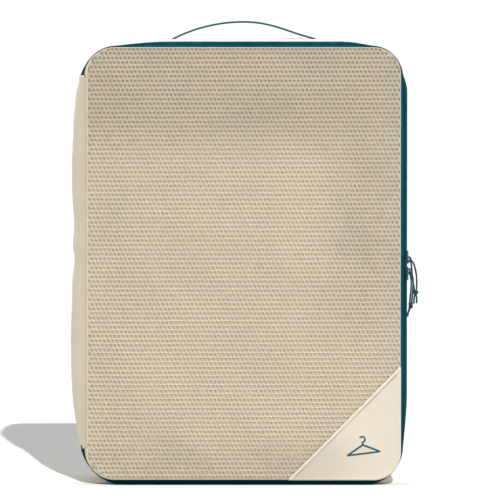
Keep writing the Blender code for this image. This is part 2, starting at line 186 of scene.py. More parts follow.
def add_object(name, data):
    made = bpy.data.objects.new(name, data)
    bpy.context.scene.collection.objects.link(made)
    return made


def set_inputs(node, values):
    for name, value in values.items():
        node.inputs[name].default_value = value


def make_camera():
    data = bpy.data.cameras.new("camera")
    data.sensor_width = SENSOR
    data.lens = SENSOR * VIEW_DISTANCE / VIEW_WIDTH
    data.clip_end = 100
    camera = add_object("camera", data)
    toward = Vector((0, -math.cos(VIEW_ELEVATION), math.sin(VIEW_ELEVATION)))
    camera.location = VIEW_TARGET + toward * VIEW_DISTANCE
    camera.rotation_euler = (-toward).to_track_quat("-Z", "Y").to_euler()
    bpy.context.scene.camera = camera


def make_sun(name, azimuth, elevation, strength, spread):
    """A sun that shines from an azimuth, right of the camera, and an elevation, in degrees."""
    data = bpy.data.lights.new(name, "SUN")
    data.energy = strength
    data.angle = math.radians(spread)
    lamp = add_object(name, data)
    a = math.radians(azimuth)
    e = math.radians(elevation)
    source = Vector((math.sin(a) * math.cos(e), -math.cos(a) * math.cos(e), math.sin(e)))
    lamp.rotation_euler = source.to_track_quat("Z", "Y").to_euler()
    return lamp


def make_floor():
    size = 30
    mesh = bpy.data.meshes.new("floor")
    corners = [(-size, -size, 0), (size, -size, 0), (size, size, 0), (-size, size, 0)]
    mesh.from_pydata(corners, [], [(0, 1, 2, 3)])
    floor = bpy.data.objects.new("floor", mesh)
    paint = bpy.data.materials.new("floor")
    paint.use_nodes = True
    white = {"Base Color": (0.93, 0.93, 0.93, 1), "Roughness": 0.9, "Specular IOR Level": 0.2}
    set_inputs(paint.node_tree.nodes["Principled BSDF"], white)
    mesh.materials.append(paint)
    return floor


def make_sky():
    """A white sky that is brighter near the horizon."""
    world = bpy.data.worlds.new("studio")
    world.use_nodes = True
    nodes = world.node_tree.nodes
    link = world.node_tree.links.new
    background = nodes["Background"]
    background.inputs["Color"].default_value = (1, 1, 1, 1)
    split = nodes.new("ShaderNodeSeparateXYZ")
    level = nodes.new("ShaderNodeMapRange")
    link(nodes.new("ShaderNodeTexCoord").outputs["Generated"], split.inputs[0])
    link(split.outputs["Z"], level.inputs["Value"])
    set_inputs(level, {"From Min": 0.02, "From Max": 0.12, "To Min": 1.05, "To Max": 0.53})
    link(level.outputs["Result"], background.inputs["Strength"])
    bpy.context.scene.world = world


def make_stage():
    """The floor, the sky, soft lights on the cube and a low sun that only the floor takes."""
    scene = bpy.context.scene
    scene.view_settings.view_transform = "Standard"
    floor = make_floor()
    make_sky()
    floor_only = bpy.data.collections.new("floor_only")
    scene.collection.children.link(floor_only)
    floor_only.objects.link(floor)
    cast = make_sun("shadow_sun", 9.5, 31.7, 3.8, 0.6)
    cast.light_linking.receiver_collection = floor_only
    rest = bpy.data.collections.new("not_floor")
    rest.objects.link(floor)
    rest.collection_objects[0].light_linking.link_state = "EXCLUDE"
    key = make_sun("key_sun", 42, 40, 1.25, 14)
    top = make_sun("top_sun", 15, 74, 2.4, 30)
    back = make_sun("back_sun", 203, 30, 1.0, 10)
    data = bpy.data.lights.new("front_panel_light", "AREA")
    data.shape = "DISK"
    data.size = 0.7
    data.energy = 2.4
    fill = add_object("front_panel_light", data)
    fill.location = (0.35, -0.95, 0.10)
    aim = Vector((0.02, 0, 0.17)) - fill.location
    fill.rotation_euler = aim.to_track_quat("-Z", "Y").to_euler()
    fill.visible_camera = False
    for lamp in (key, top, back, fill):
        lamp.light_linking.receiver_collection = rest


# ---------------------------------------------------------------- materials


class Finish:
    """A procedural material with short calls for the nodes it is built from."""

    def __init__(self, name, roughness, sheen=0.0, metallic=0.0, specular=0.3):
        self.material = bpy.data.materials.new(name)
        self.material.use_nodes = True
        self.tree = self.material.node_tree
        self.shader = self.tree.nodes["Principled BSDF"]
        values = {
            "Roughness": roughness,
            "Metallic": metallic,
            "Specular IOR Level": specular,
            "Sheen Weight": sheen,
            "Sheen Roughness": 0.5,
        }
        set_inputs(self.shader, values)
        attribute = self.node("ShaderNodeAttribute")
        attribute.attribute_name = CLOTH
        self.place = attribute.outputs["Vector"]
        split = self.node("ShaderNodeSeparateXYZ")
        self.feed(split.inputs[0], self.place)
        self.u, self.v, self.w = split.outputs

    def node(self, kind, operation=None):
        made = self.tree.nodes.new(kind)
        if operation:
            made.operation = operation
        return made

    def feed(self, socket, value):
        """Joins another node's output to a socket, or sets the socket's own value."""
        if isinstance(value, bpy.types.NodeSocket):
            self.tree.links.new(value, socket)
        else:
            socket.default_value = value

    def math(self, operation, *values):
        node = self.node("ShaderNodeMath", operation)
        for socket, value in zip(node.inputs, values, strict=False):
            self.feed(socket, value)
        return node.outputs[0]

    def wave(self, value, pitch):
        """A sine from -1 to 1 that repeats every pitch millimetres."""
        return self.math("SINE", self.math("MULTIPLY", value, 2 * math.pi / pitch))

    def noise(self, size, detail=2.0, stretch=(1, 1, 1), vector=None, rough=0.5):
        """Noise from 0 to 1 with features about size millimetres across."""
        scaled = self.node("ShaderNodeVectorMath", "MULTIPLY")
        self.feed(scaled.inputs[0], vector or self.place)
        self.feed(scaled.inputs[1], tuple(axis / size for axis in stretch))
        node = self.node("ShaderNodeTexNoise")
        set_inputs(node, {"Scale": 1.0, "Detail": detail, "Roughness": rough})
        self.feed(node.inputs["Vector"], scaled.outputs[0])
        return node.outputs["Fac"]

    def mix(self, share, first, second):
        node = self.node("ShaderNodeMix")
        node.data_type = "RGBA"
        self.feed(node.inputs["Factor"], share)
        for socket, colour in ((node.inputs[6], first), (node.inputs[7], second)):
            self.feed(socket, (*colour, 1.0) if isinstance(colour, tuple) else colour)
        return node.outputs[2]

    def spread(self, value, low, high, to_low=0.0, to_high=1.0):
        node = self.node("ShaderNodeMapRange")
        self.feed(node.inputs["Value"], value)
        limits = {"From Min": low, "From Max": high, "To Min": to_low, "To Max": to_high}
        set_inputs(node, limits)
        return node.outputs["Result"]

    def colour(self, socket):
        """The base colour, darkened by the third cloth coordinate: 0 on most pieces, painted
        shade on the mesh, its ply, the patch and the zip tapes near the floor.
        """
        scale = self.node("ShaderNodeVectorMath", "SCALE")
        self.feed(scale.inputs[0], socket)
        self.feed(scale.inputs["Scale"], self.math("SUBTRACT", 1.0, self.w))
        self.feed(self.shader.inputs["Base Color"], scale.outputs[0])

    def roughness(self, socket):
        self.feed(self.shader.inputs["Roughness"], socket)

    def bump(self, height, depth):
        """Bump from a height of 0 to 1 that stands for depth metres."""
        node = self.node("ShaderNodeBump")
        set_inputs(node, {"Strength": 1.0, "Distance": depth})
        self.feed(node.inputs["Height"], height)
        self.feed(self.shader.inputs["Normal"], node.outputs["Normal"])


def shade(colour, factor):
    """A lighter or darker colour."""
    return tuple(min(channel * factor, 1.0) for channel in colour)


def woven(name, base, pitch=0.62, depth=0.00012, stain=0.06):
    """Plain-weave cloth: warp over weft, uneven yarns, slubs and a slow change of colour."""
    made = Finish(name, 0.82, 0.12)
    warp = made.wave(made.u, pitch * 2)
    weft = made.wave(made.v, pitch * 2)
    over = made.spread(made.math("MULTIPLY", warp, weft), -1, 1)
    slub_u = made.noise(1.6, 2, (3.0, 0.25, 1))
    slub_v = made.noise(1.6, 2, (0.25, 3.0, 1))
    yarn = made.math("ADD", slub_u, slub_v)
    height = made.math("MULTIPLY_ADD", yarn, 0.7, over)
    slow = made.noise(55, 3)
    grain = made.noise(1.1, 3, rough=0.7)
    tone = made.math("MULTIPLY_ADD", made.spread(yarn, 0.6, 1.4, -0.5, 0.5), 0.55, grain)
    shift = made.math("MULTIPLY_ADD", over, 0.25, tone)
    dark, light = shade(base, 1 - 1.6 * stain), shade(base, 1 + stain)
    fine = made.mix(made.spread(shift, 0.15, 1.15), dark, light)
    cool_base = shade((base[0] * 0.95, base[1], base[2] * 1.06), 0.95)
    cool = made.mix(made.spread(slow, 0.35, 0.7), fine, cool_base)
    made.colour(made.mix(0.35, fine, cool))
    made.roughness(made.spread(grain, 0.3, 0.7, 0.75, 0.90))
    made.bump(height, depth)
    return made.material


def knitted(name, base, stain=0.08, yarn=0.34, depth=0.00008):
    """Warp-knit yarn: fine slanted loops with fuzz, and broad greyer blotches of painted shade
    that stand for shadowed dents and stuffing in and behind the mesh.
    """
    made = Finish(name, 0.85, 0.15)
    slant = made.math("MULTIPLY_ADD", made.u, 0.75, made.v)
    other = made.math("MULTIPLY_ADD", made.u, -0.75, made.v)
    crest = made.math("MAXIMUM", made.wave(slant, yarn * 2), made.wave(other, yarn * 2))
    loops = made.spread(crest, -1, 1)
    fuzz = made.noise(0.5, 3, rough=0.7)
    slow = made.noise(70, 2)
    middle = made.noise(7, 2)
    tone = made.math("MULTIPLY_ADD", loops, 0.35, fuzz)
    dark, light = shade(base, 1 - 1.5 * stain), shade(base, 1 + stain)
    fine = made.mix(made.spread(tone, 0.3, 1.1), dark, light)
    # Painted shade: broad greyer blotches, mixed in by slow noise
    painted_shade_grey = (base[0] * 0.90, base[1] * 0.925, base[2] * 0.97)
    broad = made.math("MULTIPLY_ADD", middle, 0.35, slow)
    made.colour(made.mix(made.spread(broad, 0.66, 0.95), fine, painted_shade_grey))
    made.roughness(made.spread(fuzz, 0.3, 0.7, 0.79, 0.93))
    made.bump(made.math("MULTIPLY_ADD", fuzz, 0.8, loops), depth)
    return made.material


def ribbed(name, base, rib=0.9, across=2.2, depth=0.00016, rough=0.78, twill=True):
    """Tape or webbing: ribs across it, crossed by a herringbone of lengthways yarns."""
    made = Finish(name, rough, 0.0, specular=0.0)
    lean = made.math("PINGPONG", made.v, across)
    slant = made.math("MULTIPLY_ADD", lean, 0.9 if twill else 0.15, made.u)
    ribs = made.spread(made.wave(slant, rib), -1, 1)
    yarns = made.spread(made.wave(made.v, across / 3), -1, 1)
    fuzz = made.noise(0.6, 3, rough=0.7)
    slow = made.noise(40, 2)
    height = made.math("MULTIPLY_ADD", yarns, 0.45, ribs)
    tone = made.math("MULTIPLY_ADD", fuzz, 0.8, made.math("MULTIPLY", height, 0.5))
    fine = made.mix(made.spread(tone, 0.3, 1.1), shade(base, 0.66), shade(base, 1.34))
    faded = (base[0] * 1.2 + 0.001, base[1] * 1.12, base[2] * 1.06)
    made.colour(made.mix(made.spread(slow, 0.35, 0.75, 0, 0.6), fine, faded))
    made.roughness(made.spread(fuzz, 0.3, 0.7, rough - 0.1, rough + 0.1))
    made.bump(made.math("MULTIPLY_ADD", fuzz, 0.4, height), depth)
    return made.material


def braided(name, base):
    """Round braid: two sets of strands that wind opposite ways and cross."""
    made = Finish(name, 0.75, 0.05, specular=0.2)
    strand = 0.95
    left = made.wave(made.math("ADD", made.u, made.v), strand)
    right = made.wave(made.math("SUBTRACT", made.u, made.v), strand)
    cross = made.spread(made.math("MULTIPLY", left, right), -1, 1)
    fuzz = made.noise(0.4, 3, rough=0.7)
    tone = made.math("MULTIPLY_ADD", fuzz, 0.6, cross)
    made.colour(made.mix(made.spread(tone, 0.25, 1.3), shade(base, 0.6), shade(base, 1.55)))
    made.roughness(made.spread(fuzz, 0.3, 0.7, 0.62, 0.82))
    made.bump(made.math("MULTIPLY_ADD", fuzz, 0.3, cross), 0.00022)
    return made.material


def moulded(name, base, rough=0.36, metallic=0.0, specular=0.4):
    """Painted metal or nylon: a fine orange peel, dust in places and scuffs."""
    made = Finish(name, rough, 0.0, metallic, specular)
    scaled = made.node("ShaderNodeVectorMath", "SCALE")
    made.feed(scaled.inputs[0], made.node("ShaderNodeTexCoord").outputs["Object"])
    made.feed(scaled.inputs["Scale"], MM)
    where = scaled.outputs[0]
    peel = made.noise(0.5, 2, vector=where)
    scuff = made.noise(3.0, 4, (1, 1, 0.3), vector=where, rough=0.75)
    made.colour(made.mix(made.spread(scuff, 0.35, 0.72), shade(base, 0.85), shade(base, 1.5)))
    made.roughness(made.spread(scuff, 0.3, 0.7, rough - 0.08, rough + 0.16))
    made.bump(peel, 0.00002)
    return made.material


# ---------------------------------------------------------------- the case's edge and walls

# The panel's edge is run round clockwise, from the middle of its left side back to it
SIDES = {"left": (-1, 0), "top": (0, 1), "right": (1, 0), "bottom": (0, -1)}
LEFT_RUN = PANEL_H / 2 - CORNER_R
TOP_RUN = PANEL_W - 2 * CORNER_R
SIDE_RUN = PANEL_H - 2 * CORNER_R
ARC_RUN = CORNER_R * math.pi / 2
RUNS = [
    ("left", LEFT_RUN),
    ("top_left", ARC_RUN),
    ("top", TOP_RUN),
    ("top_right", ARC_RUN),
    ("right", SIDE_RUN),
    ("bottom_right", ARC_RUN),
    ("bottom", TOP_RUN),
    ("bottom_left", ARC_RUN),
    ("left", LEFT_RUN),
]
STARTS = [sum(length for _, length in RUNS[:index]) for index in range(len(RUNS))]
AROUND = STARTS[-1] + LEFT_RUN
ZIP_START = ZIP_END_TOP - PANEL_MID
ZIP_END = AROUND + ZIP_END_BOTTOM - PANEL_MID


def smooth(share):
    """0 up to a share of 0, 1 from a share of 1, and an even S between."""
    share = min(max(share, 0.0), 1.0)
    return share * share * (3 - 2 * share)


def side_swell(side, from_start, from_end):
    """A side's full swell at a distance from its two ends."""
    low = CORNER_SWELL[side]
    first, last = SWELL_LENGTH[side]
    share = min(from_start / first, from_end / last, 1.0)
    return low + (FULL_SWELL[side] - low) * math.sin(max(share, 0.0) * math.pi / 2)


def edge_at(distance):
    """The edge's place (x, z), its outward direction and the wall's full swell there."""
    distance %= AROUND
    for index, (name, length) in enumerate(RUNS):
        along = distance - STARTS[index]
        if along <= length + 1e-9:
            break
    half_w = PANEL_W / 2
    half_h = PANEL_H / 2
    if name in SIDES:
        out = SIDES[name]
        offset = along - length / 2
        ends = (along, length - along)
        if index == 0:
            offset = along
            ends = (PANEL_H, length - along)
        elif name == "left":
            offset = along - length
            ends = (along, PANEL_H)
        place = (out[0] * half_w + out[1] * offset, out[1] * half_h - out[0] * offset)
        return place, out, side_swell(name, *ends)
    before = RUNS[index - 1][0]
    after = RUNS[index + 1][0]
    share = along / length
    angle = math.pi - (index - 1) / 2 * math.pi / 2 - share * math.pi / 2
    out = (math.cos(angle), math.sin(angle))
    centre_x = math.copysign(half_w - CORNER_R, 1 if "right" in name else -1)
    centre_z = math.copysign(half_h - CORNER_R, 1 if "top" in name else -1)
    place = (centre_x + CORNER_R * out[0], centre_z + CORNER_R * out[1])
    swell = LEAST_SWELL + (CORNER_SWELL[before] - LEAST_SWELL) * (1 - share) ** 3
    swell += (CORNER_SWELL[after] - LEAST_SWELL) * share**3
    return place, out, swell


def swell_share(y, down):
    """How much of the full swell the wall has at a depth; down is 1 where it faces the floor."""
    length = SWELL_RISE + (BOTTOM_RISE - SWELL_RISE) * down**2
    rise = min(max((y - FRONT_SEAM) / length, 0.0), 1.0)
    fall = min(max((y - (DEPTH / 2 - SWELL_FALL)) / SWELL_FALL, 0.0), 1.0)
    back = 1 - (1 - BACK_SWELL) * (1 - math.cos(fall * math.pi / 2))
    return math.sin(rise * math.pi / 2) * back


def edge_point(distance, lift):
    """The point (x, z) that stands out from the panel's edge by lift."""
    place, out, _ = edge_at(distance)
    return PANEL_X + place[0] + out[0] * lift, PANEL_MID + place[1] + out[1] * lift


def wall_point(distance, y, lift=0.0):
    """A point of the full wall, off by lift, that never goes under the floor."""
    _, out, swell = edge_at(distance)
    x, z = edge_point(distance, swell * swell_share(y, max(-out[1], 0.0)) + lift)
    return (x, y, max(z, 0.00005))


def inside_distance(x, z):
    """How far a point on the front panel is inside the panel's rounded outline."""
    over_x = abs(x - PANEL_X) - (PANEL_W / 2 - CORNER_R)
    over_z = abs(z - PANEL_MID) - (PANEL_H / 2 - CORNER_R)
    outside = math.hypot(max(over_x, 0.0), max(over_z, 0.0))
    return CORNER_R - outside - min(max(over_x, over_z), 0.0)


def keep_inside(x, z, inset):
    """The point, or the nearest one that is at least inset inside the outline."""
    half_w = PANEL_W / 2 - CORNER_R
    half_h = PANEL_H / 2 - CORNER_R
    off_x = x - PANEL_X
    off_z = z - PANEL_MID
    core_x = min(max(off_x, -half_w), half_w)
    core_z = min(max(off_z, -half_h), half_h)
    reach = math.hypot(off_x - core_x, off_z - core_z)
    limit = CORNER_R - inset
    if reach > limit:
        off_x = core_x + (off_x - core_x) * limit / reach
        off_z = core_z + (off_z - core_z) * limit / reach
    return PANEL_X + off_x, PANEL_MID + off_z


def soft(x, y, z, seed=0.0):
    """Smooth noise from -1 to 1, one feature per unit."""
    return noise.noise(Vector((x + 17.3 * seed, y - 5.1 * seed, z + 3.7 * seed)))


def panel_y(x, z):
    """The front panel's depth: slightly full, with the soft dents of slack cloth."""
    fade = smooth(inside_distance(x, z) / 0.045)
    full = 0.0028 * fade
    broad = 0.0034 * soft(x * 11, 0, z * 8, 1)
    fold = 0.0018 * soft(x * 16 + z * 9, 0, z * 13 - x * 6, 2)
    fine = 0.0004 * soft(x * 45, 0, z * 38, 3)
    return MESH_FRONT - full + (broad + fold + fine) * fade


def painted_mesh_shade(x, z):
    """How much painted shade darkens the mesh and its ply, 0 to 1: near the top, up the
    right-hand side and a little low on the left.
    """
    top = smooth((z - 0.285) / 0.055)
    right = smooth((x - 0.045) / 0.07) * smooth((z - 0.10) / 0.08) * 0.6
    low_left = smooth((0.05 - z) / 0.045) * 0.35
    return min(max(top, right, low_left), 1.0)


# ---------------------------------------------------------------- mesh helpers


def add_mesh(name, shape, finish, outward=True):
    """A smooth mesh object from a (vertices, faces, flat places on the cloth) set."""
    verts, faces, flat = shape
    mesh = bpy.data.meshes.new(name)
    mesh.from_pydata([tuple(vert) for vert in verts], [], faces)
    values = np.asarray(flat, np.float32).reshape(-1, 3) * MM
    cloth = mesh.attributes.new(CLOTH, "FLOAT_VECTOR", "POINT")
    cloth.data.foreach_set("vector", values.ravel())
    if outward:
        turn_outward(mesh)
    mesh.polygons.foreach_set("use_smooth", [True] * len(mesh.polygons))
    mesh.materials.append(finish)
    return add_object(name, mesh)


def turn_outward(mesh):
    form = bmesh.new()
    form.from_mesh(mesh)
    bmesh.ops.recalc_face_normals(form, faces=form.faces[:])
    form.to_mesh(mesh)
    form.free()


def closed_sheet(name, outer, inner, flat, finish):
    """A sheet with thickness from two grids of points, joined along their borders."""
    columns, rows = outer.shape[:2]
    index = np.arange(columns * rows).reshape(columns, rows)
    count = columns * rows
    a, b, c, d = index[:-1, :-1], index[1:, :-1], index[1:, 1:], index[:-1, 1:]
    front = np.stack([a, b, c, d], -1).reshape(-1, 4)
    faces = np.concatenate([front, front[:, ::-1] + count])
    border = np.concatenate(
        [index[:-1, 0], index[-1, :-1], index[:0:-1, -1], index[0, :0:-1]]
    )
    following = np.roll(border, -1)
    sides = np.stack([border, border + count, following + count, following], -1)
    faces = np.concatenate([faces, sides])
    verts = np.concatenate([outer.reshape(-1, 3), inner.reshape(-1, 3)])
    cloth = np.concatenate([flat.reshape(-1, 3)] * 2)
    return add_mesh(name, (verts.tolist(), faces.tolist(), cloth), finish)


NEAR_EDGE = 0.0004


def with_edges(values, edge=NEAR_EDGE):
    """The values, with one more close to each end, so that the cloth's edge can be rounded."""
    first = values[0] + math.copysign(edge, values[1] - values[0])
    last = values[-1] + math.copysign(edge, values[-2] - values[-1])
    return [values[0], first, *values[1:-1], last, values[-1]]


def even(start, end, step):
    """Numbers from start to end, evenly spaced by about step."""
    return list(np.linspace(start, end, max(int(math.ceil(abs(end - start) / step)), 2) + 1))


END_REACH = 0.012
# How high above the floor a wall sheet's colour takes painted shade
FLOOR_SHADE = 0.012


def wall_sheet(name, span, step, rows, thickness, finish, shape=None, dark=0.0, slant=0.0):
    """A sheet on the case's wall. rows are (y, lift) across it; shape adds slack.

    dark is how much painted shade darkens its colour where it stands on the floor, and slant is
    how much longer it is behind its front edge, at either end.
    """
    dark = dark / MM
    along = with_edges(even(*span, step))
    profile = refine(rows)
    outer = np.empty((len(along), len(profile), 3))
    inner = np.empty_like(outer)
    flat = np.zeros_like(outer)
    run = run_along(profile)
    last_row = len(profile) - 1
    for i, place in enumerate(along):
        end = i in (0, len(along) - 1)
        high_end = smooth((place - span[1]) / END_REACH + 1)
        low_end = smooth((span[0] - place) / END_REACH + 1)
        for j, (y, lift) in enumerate(profile):
            back = smooth((y - WALL_FRONT) / 0.009) * smooth((WALL_BACK - y) / 0.003)
            distance = place + (high_end - low_end) * slant * back
            extra = shape(distance, y) if shape else 0.0
            half = thickness / 2 * (0.4 if end or j in (0, last_row) else 1.0)
            middle = lift + extra - thickness / 2
            outer[i, j] = wall_point(distance, y, middle + half)
            inner[i, j] = wall_point(distance, y, middle - half)
            # Painted shade: the colour darkens by up to dark within FLOOR_SHADE of the floor
            low = smooth((FLOOR_SHADE - outer[i, j, 2]) / 0.010)
            flat[i, j] = (distance, run[j], dark * low)
    return closed_sheet(name, outer, inner, flat, finish)


def between(first, last, share):
    """The point a share of the way from one point to another."""
    return tuple(a + (b - a) * share for a, b in zip(first, last, strict=True))


def refine(rows):
    """The rows, with one more close to each edge."""
    near = []
    for first, second in ((rows[0], rows[1]), (rows[-1], rows[-2])):
        share = min(NEAR_EDGE / max(math.dist(first, second), 1e-9), 0.5)
        near.append(between(first, second, share))
    return [rows[0], near[0], *rows[1:-1], near[1], rows[-1]]


def run_along(points):
    """The distance along a line of points, at each of them."""
    return np.cumsum([0, *[math.dist(p, q) for p, q in zip(points, points[1:], strict=False)]])


def directions(path):
    """The unit direction of a path at each of its points."""
    ahead = np.gradient(path, axis=0)
    return ahead / np.maximum(np.linalg.norm(ahead, axis=1), 1e-9)[:, None]


def ring_faces(count, sides, closed=False, outward=False):
    """The faces of a band of rings, and of its two ends unless it is closed on itself."""
    index = np.arange(count * sides).reshape(count, sides)
    rows = np.concatenate([index, index[:1]]) if closed else index
    a, b = rows[:-1], rows[1:]
    quads = [a, b, np.roll(b, -1, 1), np.roll(a, -1, 1)]
    ends = [] if closed else [index[0], index[-1][::-1]]
    if outward:
        quads = [a, *quads[:0:-1]]
        ends = [end[::-1] for end in ends]
    return [*np.stack(quads, -1).reshape(-1, 4).tolist(), *[end.tolist() for end in ends]]


def flat_copy(points):
    """The (x, z) places of a grid of points, as their places on the flat cloth."""
    flat = points[:, :, [0, 2, 1]].copy()
    flat[:, :, 2] = 0
    return flat


def rounded(points, steps):
    """Points on the Catmull-Rom curve through the given ones."""
    route = [Vector(point) for point in points]
    route = [2 * route[0] - route[1], *route, 2 * route[-1] - route[-2]]
    out = []
    for index in range(1, len(route) - 2):
        a, b, c, d = route[index - 1 : index + 3]
        for step in range(steps):
            t = step / steps
            bend = (2 * a - 5 * b + 4 * c - d) * t * t + (3 * b - a - 3 * c + d) * t**3
            out.append((2 * b + (c - a) * t + bend) / 2)
    return [*out, route[-2]]


def tube(points, radius, sides, closed=False):
    """Vertices, faces and flat places of a round tube; radius is a number or one per point."""
    path = np.asarray([tuple(point) for point in points], float)
    count = len(path)
    if closed:
        ahead = np.roll(path, -1, 0) - np.roll(path, 1, 0)
        ahead /= np.linalg.norm(ahead, axis=1)[:, None]
    else:
        ahead = directions(path)
    steps = np.linalg.norm(np.diff(path, axis=0), axis=1)
    run = np.concatenate([[0], np.cumsum(steps)])
    across = np.empty_like(path)
    start = np.cross(ahead[0], (0.31, 0.17, 0.93))
    across[0] = start / np.linalg.norm(start)
    for i in range(1, count):
        kept = across[i - 1] - ahead[i] * (across[i - 1] @ ahead[i])
        across[i] = kept / np.linalg.norm(kept)
    third = np.cross(ahead, across)
    angles = np.arange(sides) * 2 * math.pi / sides
    sizes = np.broadcast_to(np.asarray(radius, float), (count,))[:, None, None]
    ring = (
        across[:, None] * np.cos(angles)[None, :, None]
        + third[:, None] * np.sin(angles)[None, :, None]
    )
    verts = (path[:, None] + ring * sizes).reshape(-1, 3)
    faces = ring_faces(count, sides, closed, outward=True)
    girth = 2 * math.pi * float(np.mean(radius))
    flat = np.zeros((count, sides, 3))
    fold = 1 - np.abs(1 - np.arange(sides) * 2 / sides)
    flat[:, :, 0] = fold[None] * girth / 2
    flat[:, :, 1] = run[:, None]
    return verts, faces, flat.reshape(-1, 3)


def merged(parts):
    """Several (vertices, faces, flat) sets as one."""
    verts, faces, flat = [], [], []
    for some, ring, places in parts:
        base = len(verts)
        verts += np.asarray(some).tolist()
        faces += [[base + i for i in face] for face in ring]
        flat += np.asarray(places).tolist()
    return verts, faces, flat


def sew(name, surface, route, size, thread, body, slot):
    """Stitches as slim beads along a route of (u, v) on a surface(u, v) -> point.

    size is a stitch's pitch, length and width.
    """
    pitch, length, width = size
    places = [np.array(surface(*point), float) for point in route]
    run = run_along(places)
    count = max(int(run[-1] / pitch), 1)
    at = (np.arange(count) + 0.5) * run[-1] / count
    uv = np.array([[np.interp(s, run, [p[k] for p in route]) for k in (0, 1)] for s in at])
    ahead_uv = np.gradient(uv, axis=0)
    tiny = 1e-4
    verts, faces, flat = [], [], []
    turns = np.arange(6) * math.pi / 3
    for (u, v), toward in zip(uv, ahead_uv, strict=True):
        toward = toward / (np.linalg.norm(toward) or 1)
        p = np.array(surface(u, v), float)
        d = np.array(surface(u + toward[0] * tiny, v + toward[1] * tiny), float) - p
        e = np.array(surface(u - toward[1] * tiny, v + toward[0] * tiny), float) - p
        d /= np.linalg.norm(d)
        e -= d * (e @ d)
        e /= np.linalg.norm(e)
        n = np.cross(d, e)
        base = len(verts)
        verts.append(p - d * length / 2)
        for t, share in ((-0.32, 0.8), (0.0, 1.0), (0.32, 0.8)):
            for turn in turns:
                side = e * math.cos(turn) + n * math.sin(turn)
                verts.append(p + d * length * t + side * width / 2 * share)
        verts.append(p + d * length / 2)
        flat += [(u, v, 0)] * 20
        last = base + 19
        for k in range(6):
            m = (k + 1) % 6
            faces.append((base, base + 1 + m, base + 1 + k))
            for r in (0, 6):
                low = base + 1 + r
                faces.append((low + k, low + m, low + 6 + m, low + 6 + k))
            faces.append((last, base + 13 + k, base + 13 + m))
    return place_piece(add_mesh(name, (verts, faces, flat), thread), body, slot)


def place_piece(piece, body, slot, *replaced):
    """Gives a piece its body and hides the model's nodes that it stands for; slot is not used.
    """
    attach(piece, body)
    if replaced:
        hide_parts(*replaced)
    return piece


# ---------------------------------------------------------------- cord pulls


def make_tail(name, points, finish):
    """A cut and sealed cord end: a little swollen, with a rounded tip."""
    path = rounded(points, 10)
    share = np.linspace(0, 1, len(path))
    tip = np.sqrt(np.clip(1 - ((share - 0.93) / 0.07).clip(0) ** 2, 0.05, 1))
    size = CORD_D / 2 * (1 + 0.12 * share) * tip
    return add_mesh(name, tube(path, size, 14), finish)


def make_knot(name, middle, ends, finish, turn):
    """An overhand knot: a trefoil of cord, pulled tight, and the strands that run into it."""
    around = np.linspace(0, 2 * math.pi, 97)[:-1]
    wide = 0.0019 / 3
    x = wide * (np.sin(around) + 2 * np.sin(2 * around))
    y = wide * (np.cos(around) - 2 * np.cos(2 * around))
    z = -0.0008 * np.sin(3 * around)
    c, s = math.cos(turn), math.sin(turn)
    path = np.stack([x * c - z * s, x * s + z * c, y * 1.15], -1) + np.array(middle)
    parts = [tube(path, 0.00098, 12, closed=True)]
    for end in ends:
        strand = [Vector(middle).lerp(Vector(end), step / 4) for step in range(5)]
        parts.append(tube(strand, CORD_D / 2 * 0.96, 10))
    return add_mesh(name, merged(parts), finish)


def make_loop(name, points, finish):
    """The cord's loop, slightly lumpy where its strands cross."""
    path = rounded(points, 14)
    lump = 1 + 0.03 * np.sin(np.arange(len(path)) * 2.1)
    return add_mesh(name, tube(path, CORD_D / 2 * lump, 14), finish)


def make_pulls():
    finish = braided("pull_cord", CORD_TEAL)
    for side, facts in PULLS.items():
        body = f"pull_{side}"
        names = [f"{body}_{part}" for part in ("loop", "knot", "tail_front", "tail_rear")]
        loop = make_loop(f"{names[0]}_cord", facts["loop"], finish)
        starts = [tail[0] for tail in facts["tails"].values()]
        ends = [facts["loop"][0], facts["loop"][-1], *starts]
        turn = 0.5 if side == "upper" else 2.3
        knot = make_knot(f"{names[1]}_cord", facts["knot"], ends, finish, turn)
        tails = [
            make_tail(f"{name}_cord", facts["tails"][end], finish)
            for name, end in zip(names[2:], ("front", "rear"), strict=True)
        ]
        for piece, node in zip([loop, knot, *tails], names, strict=True):
            place_piece(piece, body, "pull_cord", node)


# ---------------------------------------------------------------- the mesh flap

NET_PITCH_X = 0.00378
NET_PITCH_Z = 0.00413
NET_THICK = 0.0009
HOLE_X = 0.00088
HOLE_Z = 0.00130
NET_INSET = 0.0001
HOLE_INSET = 0.0005


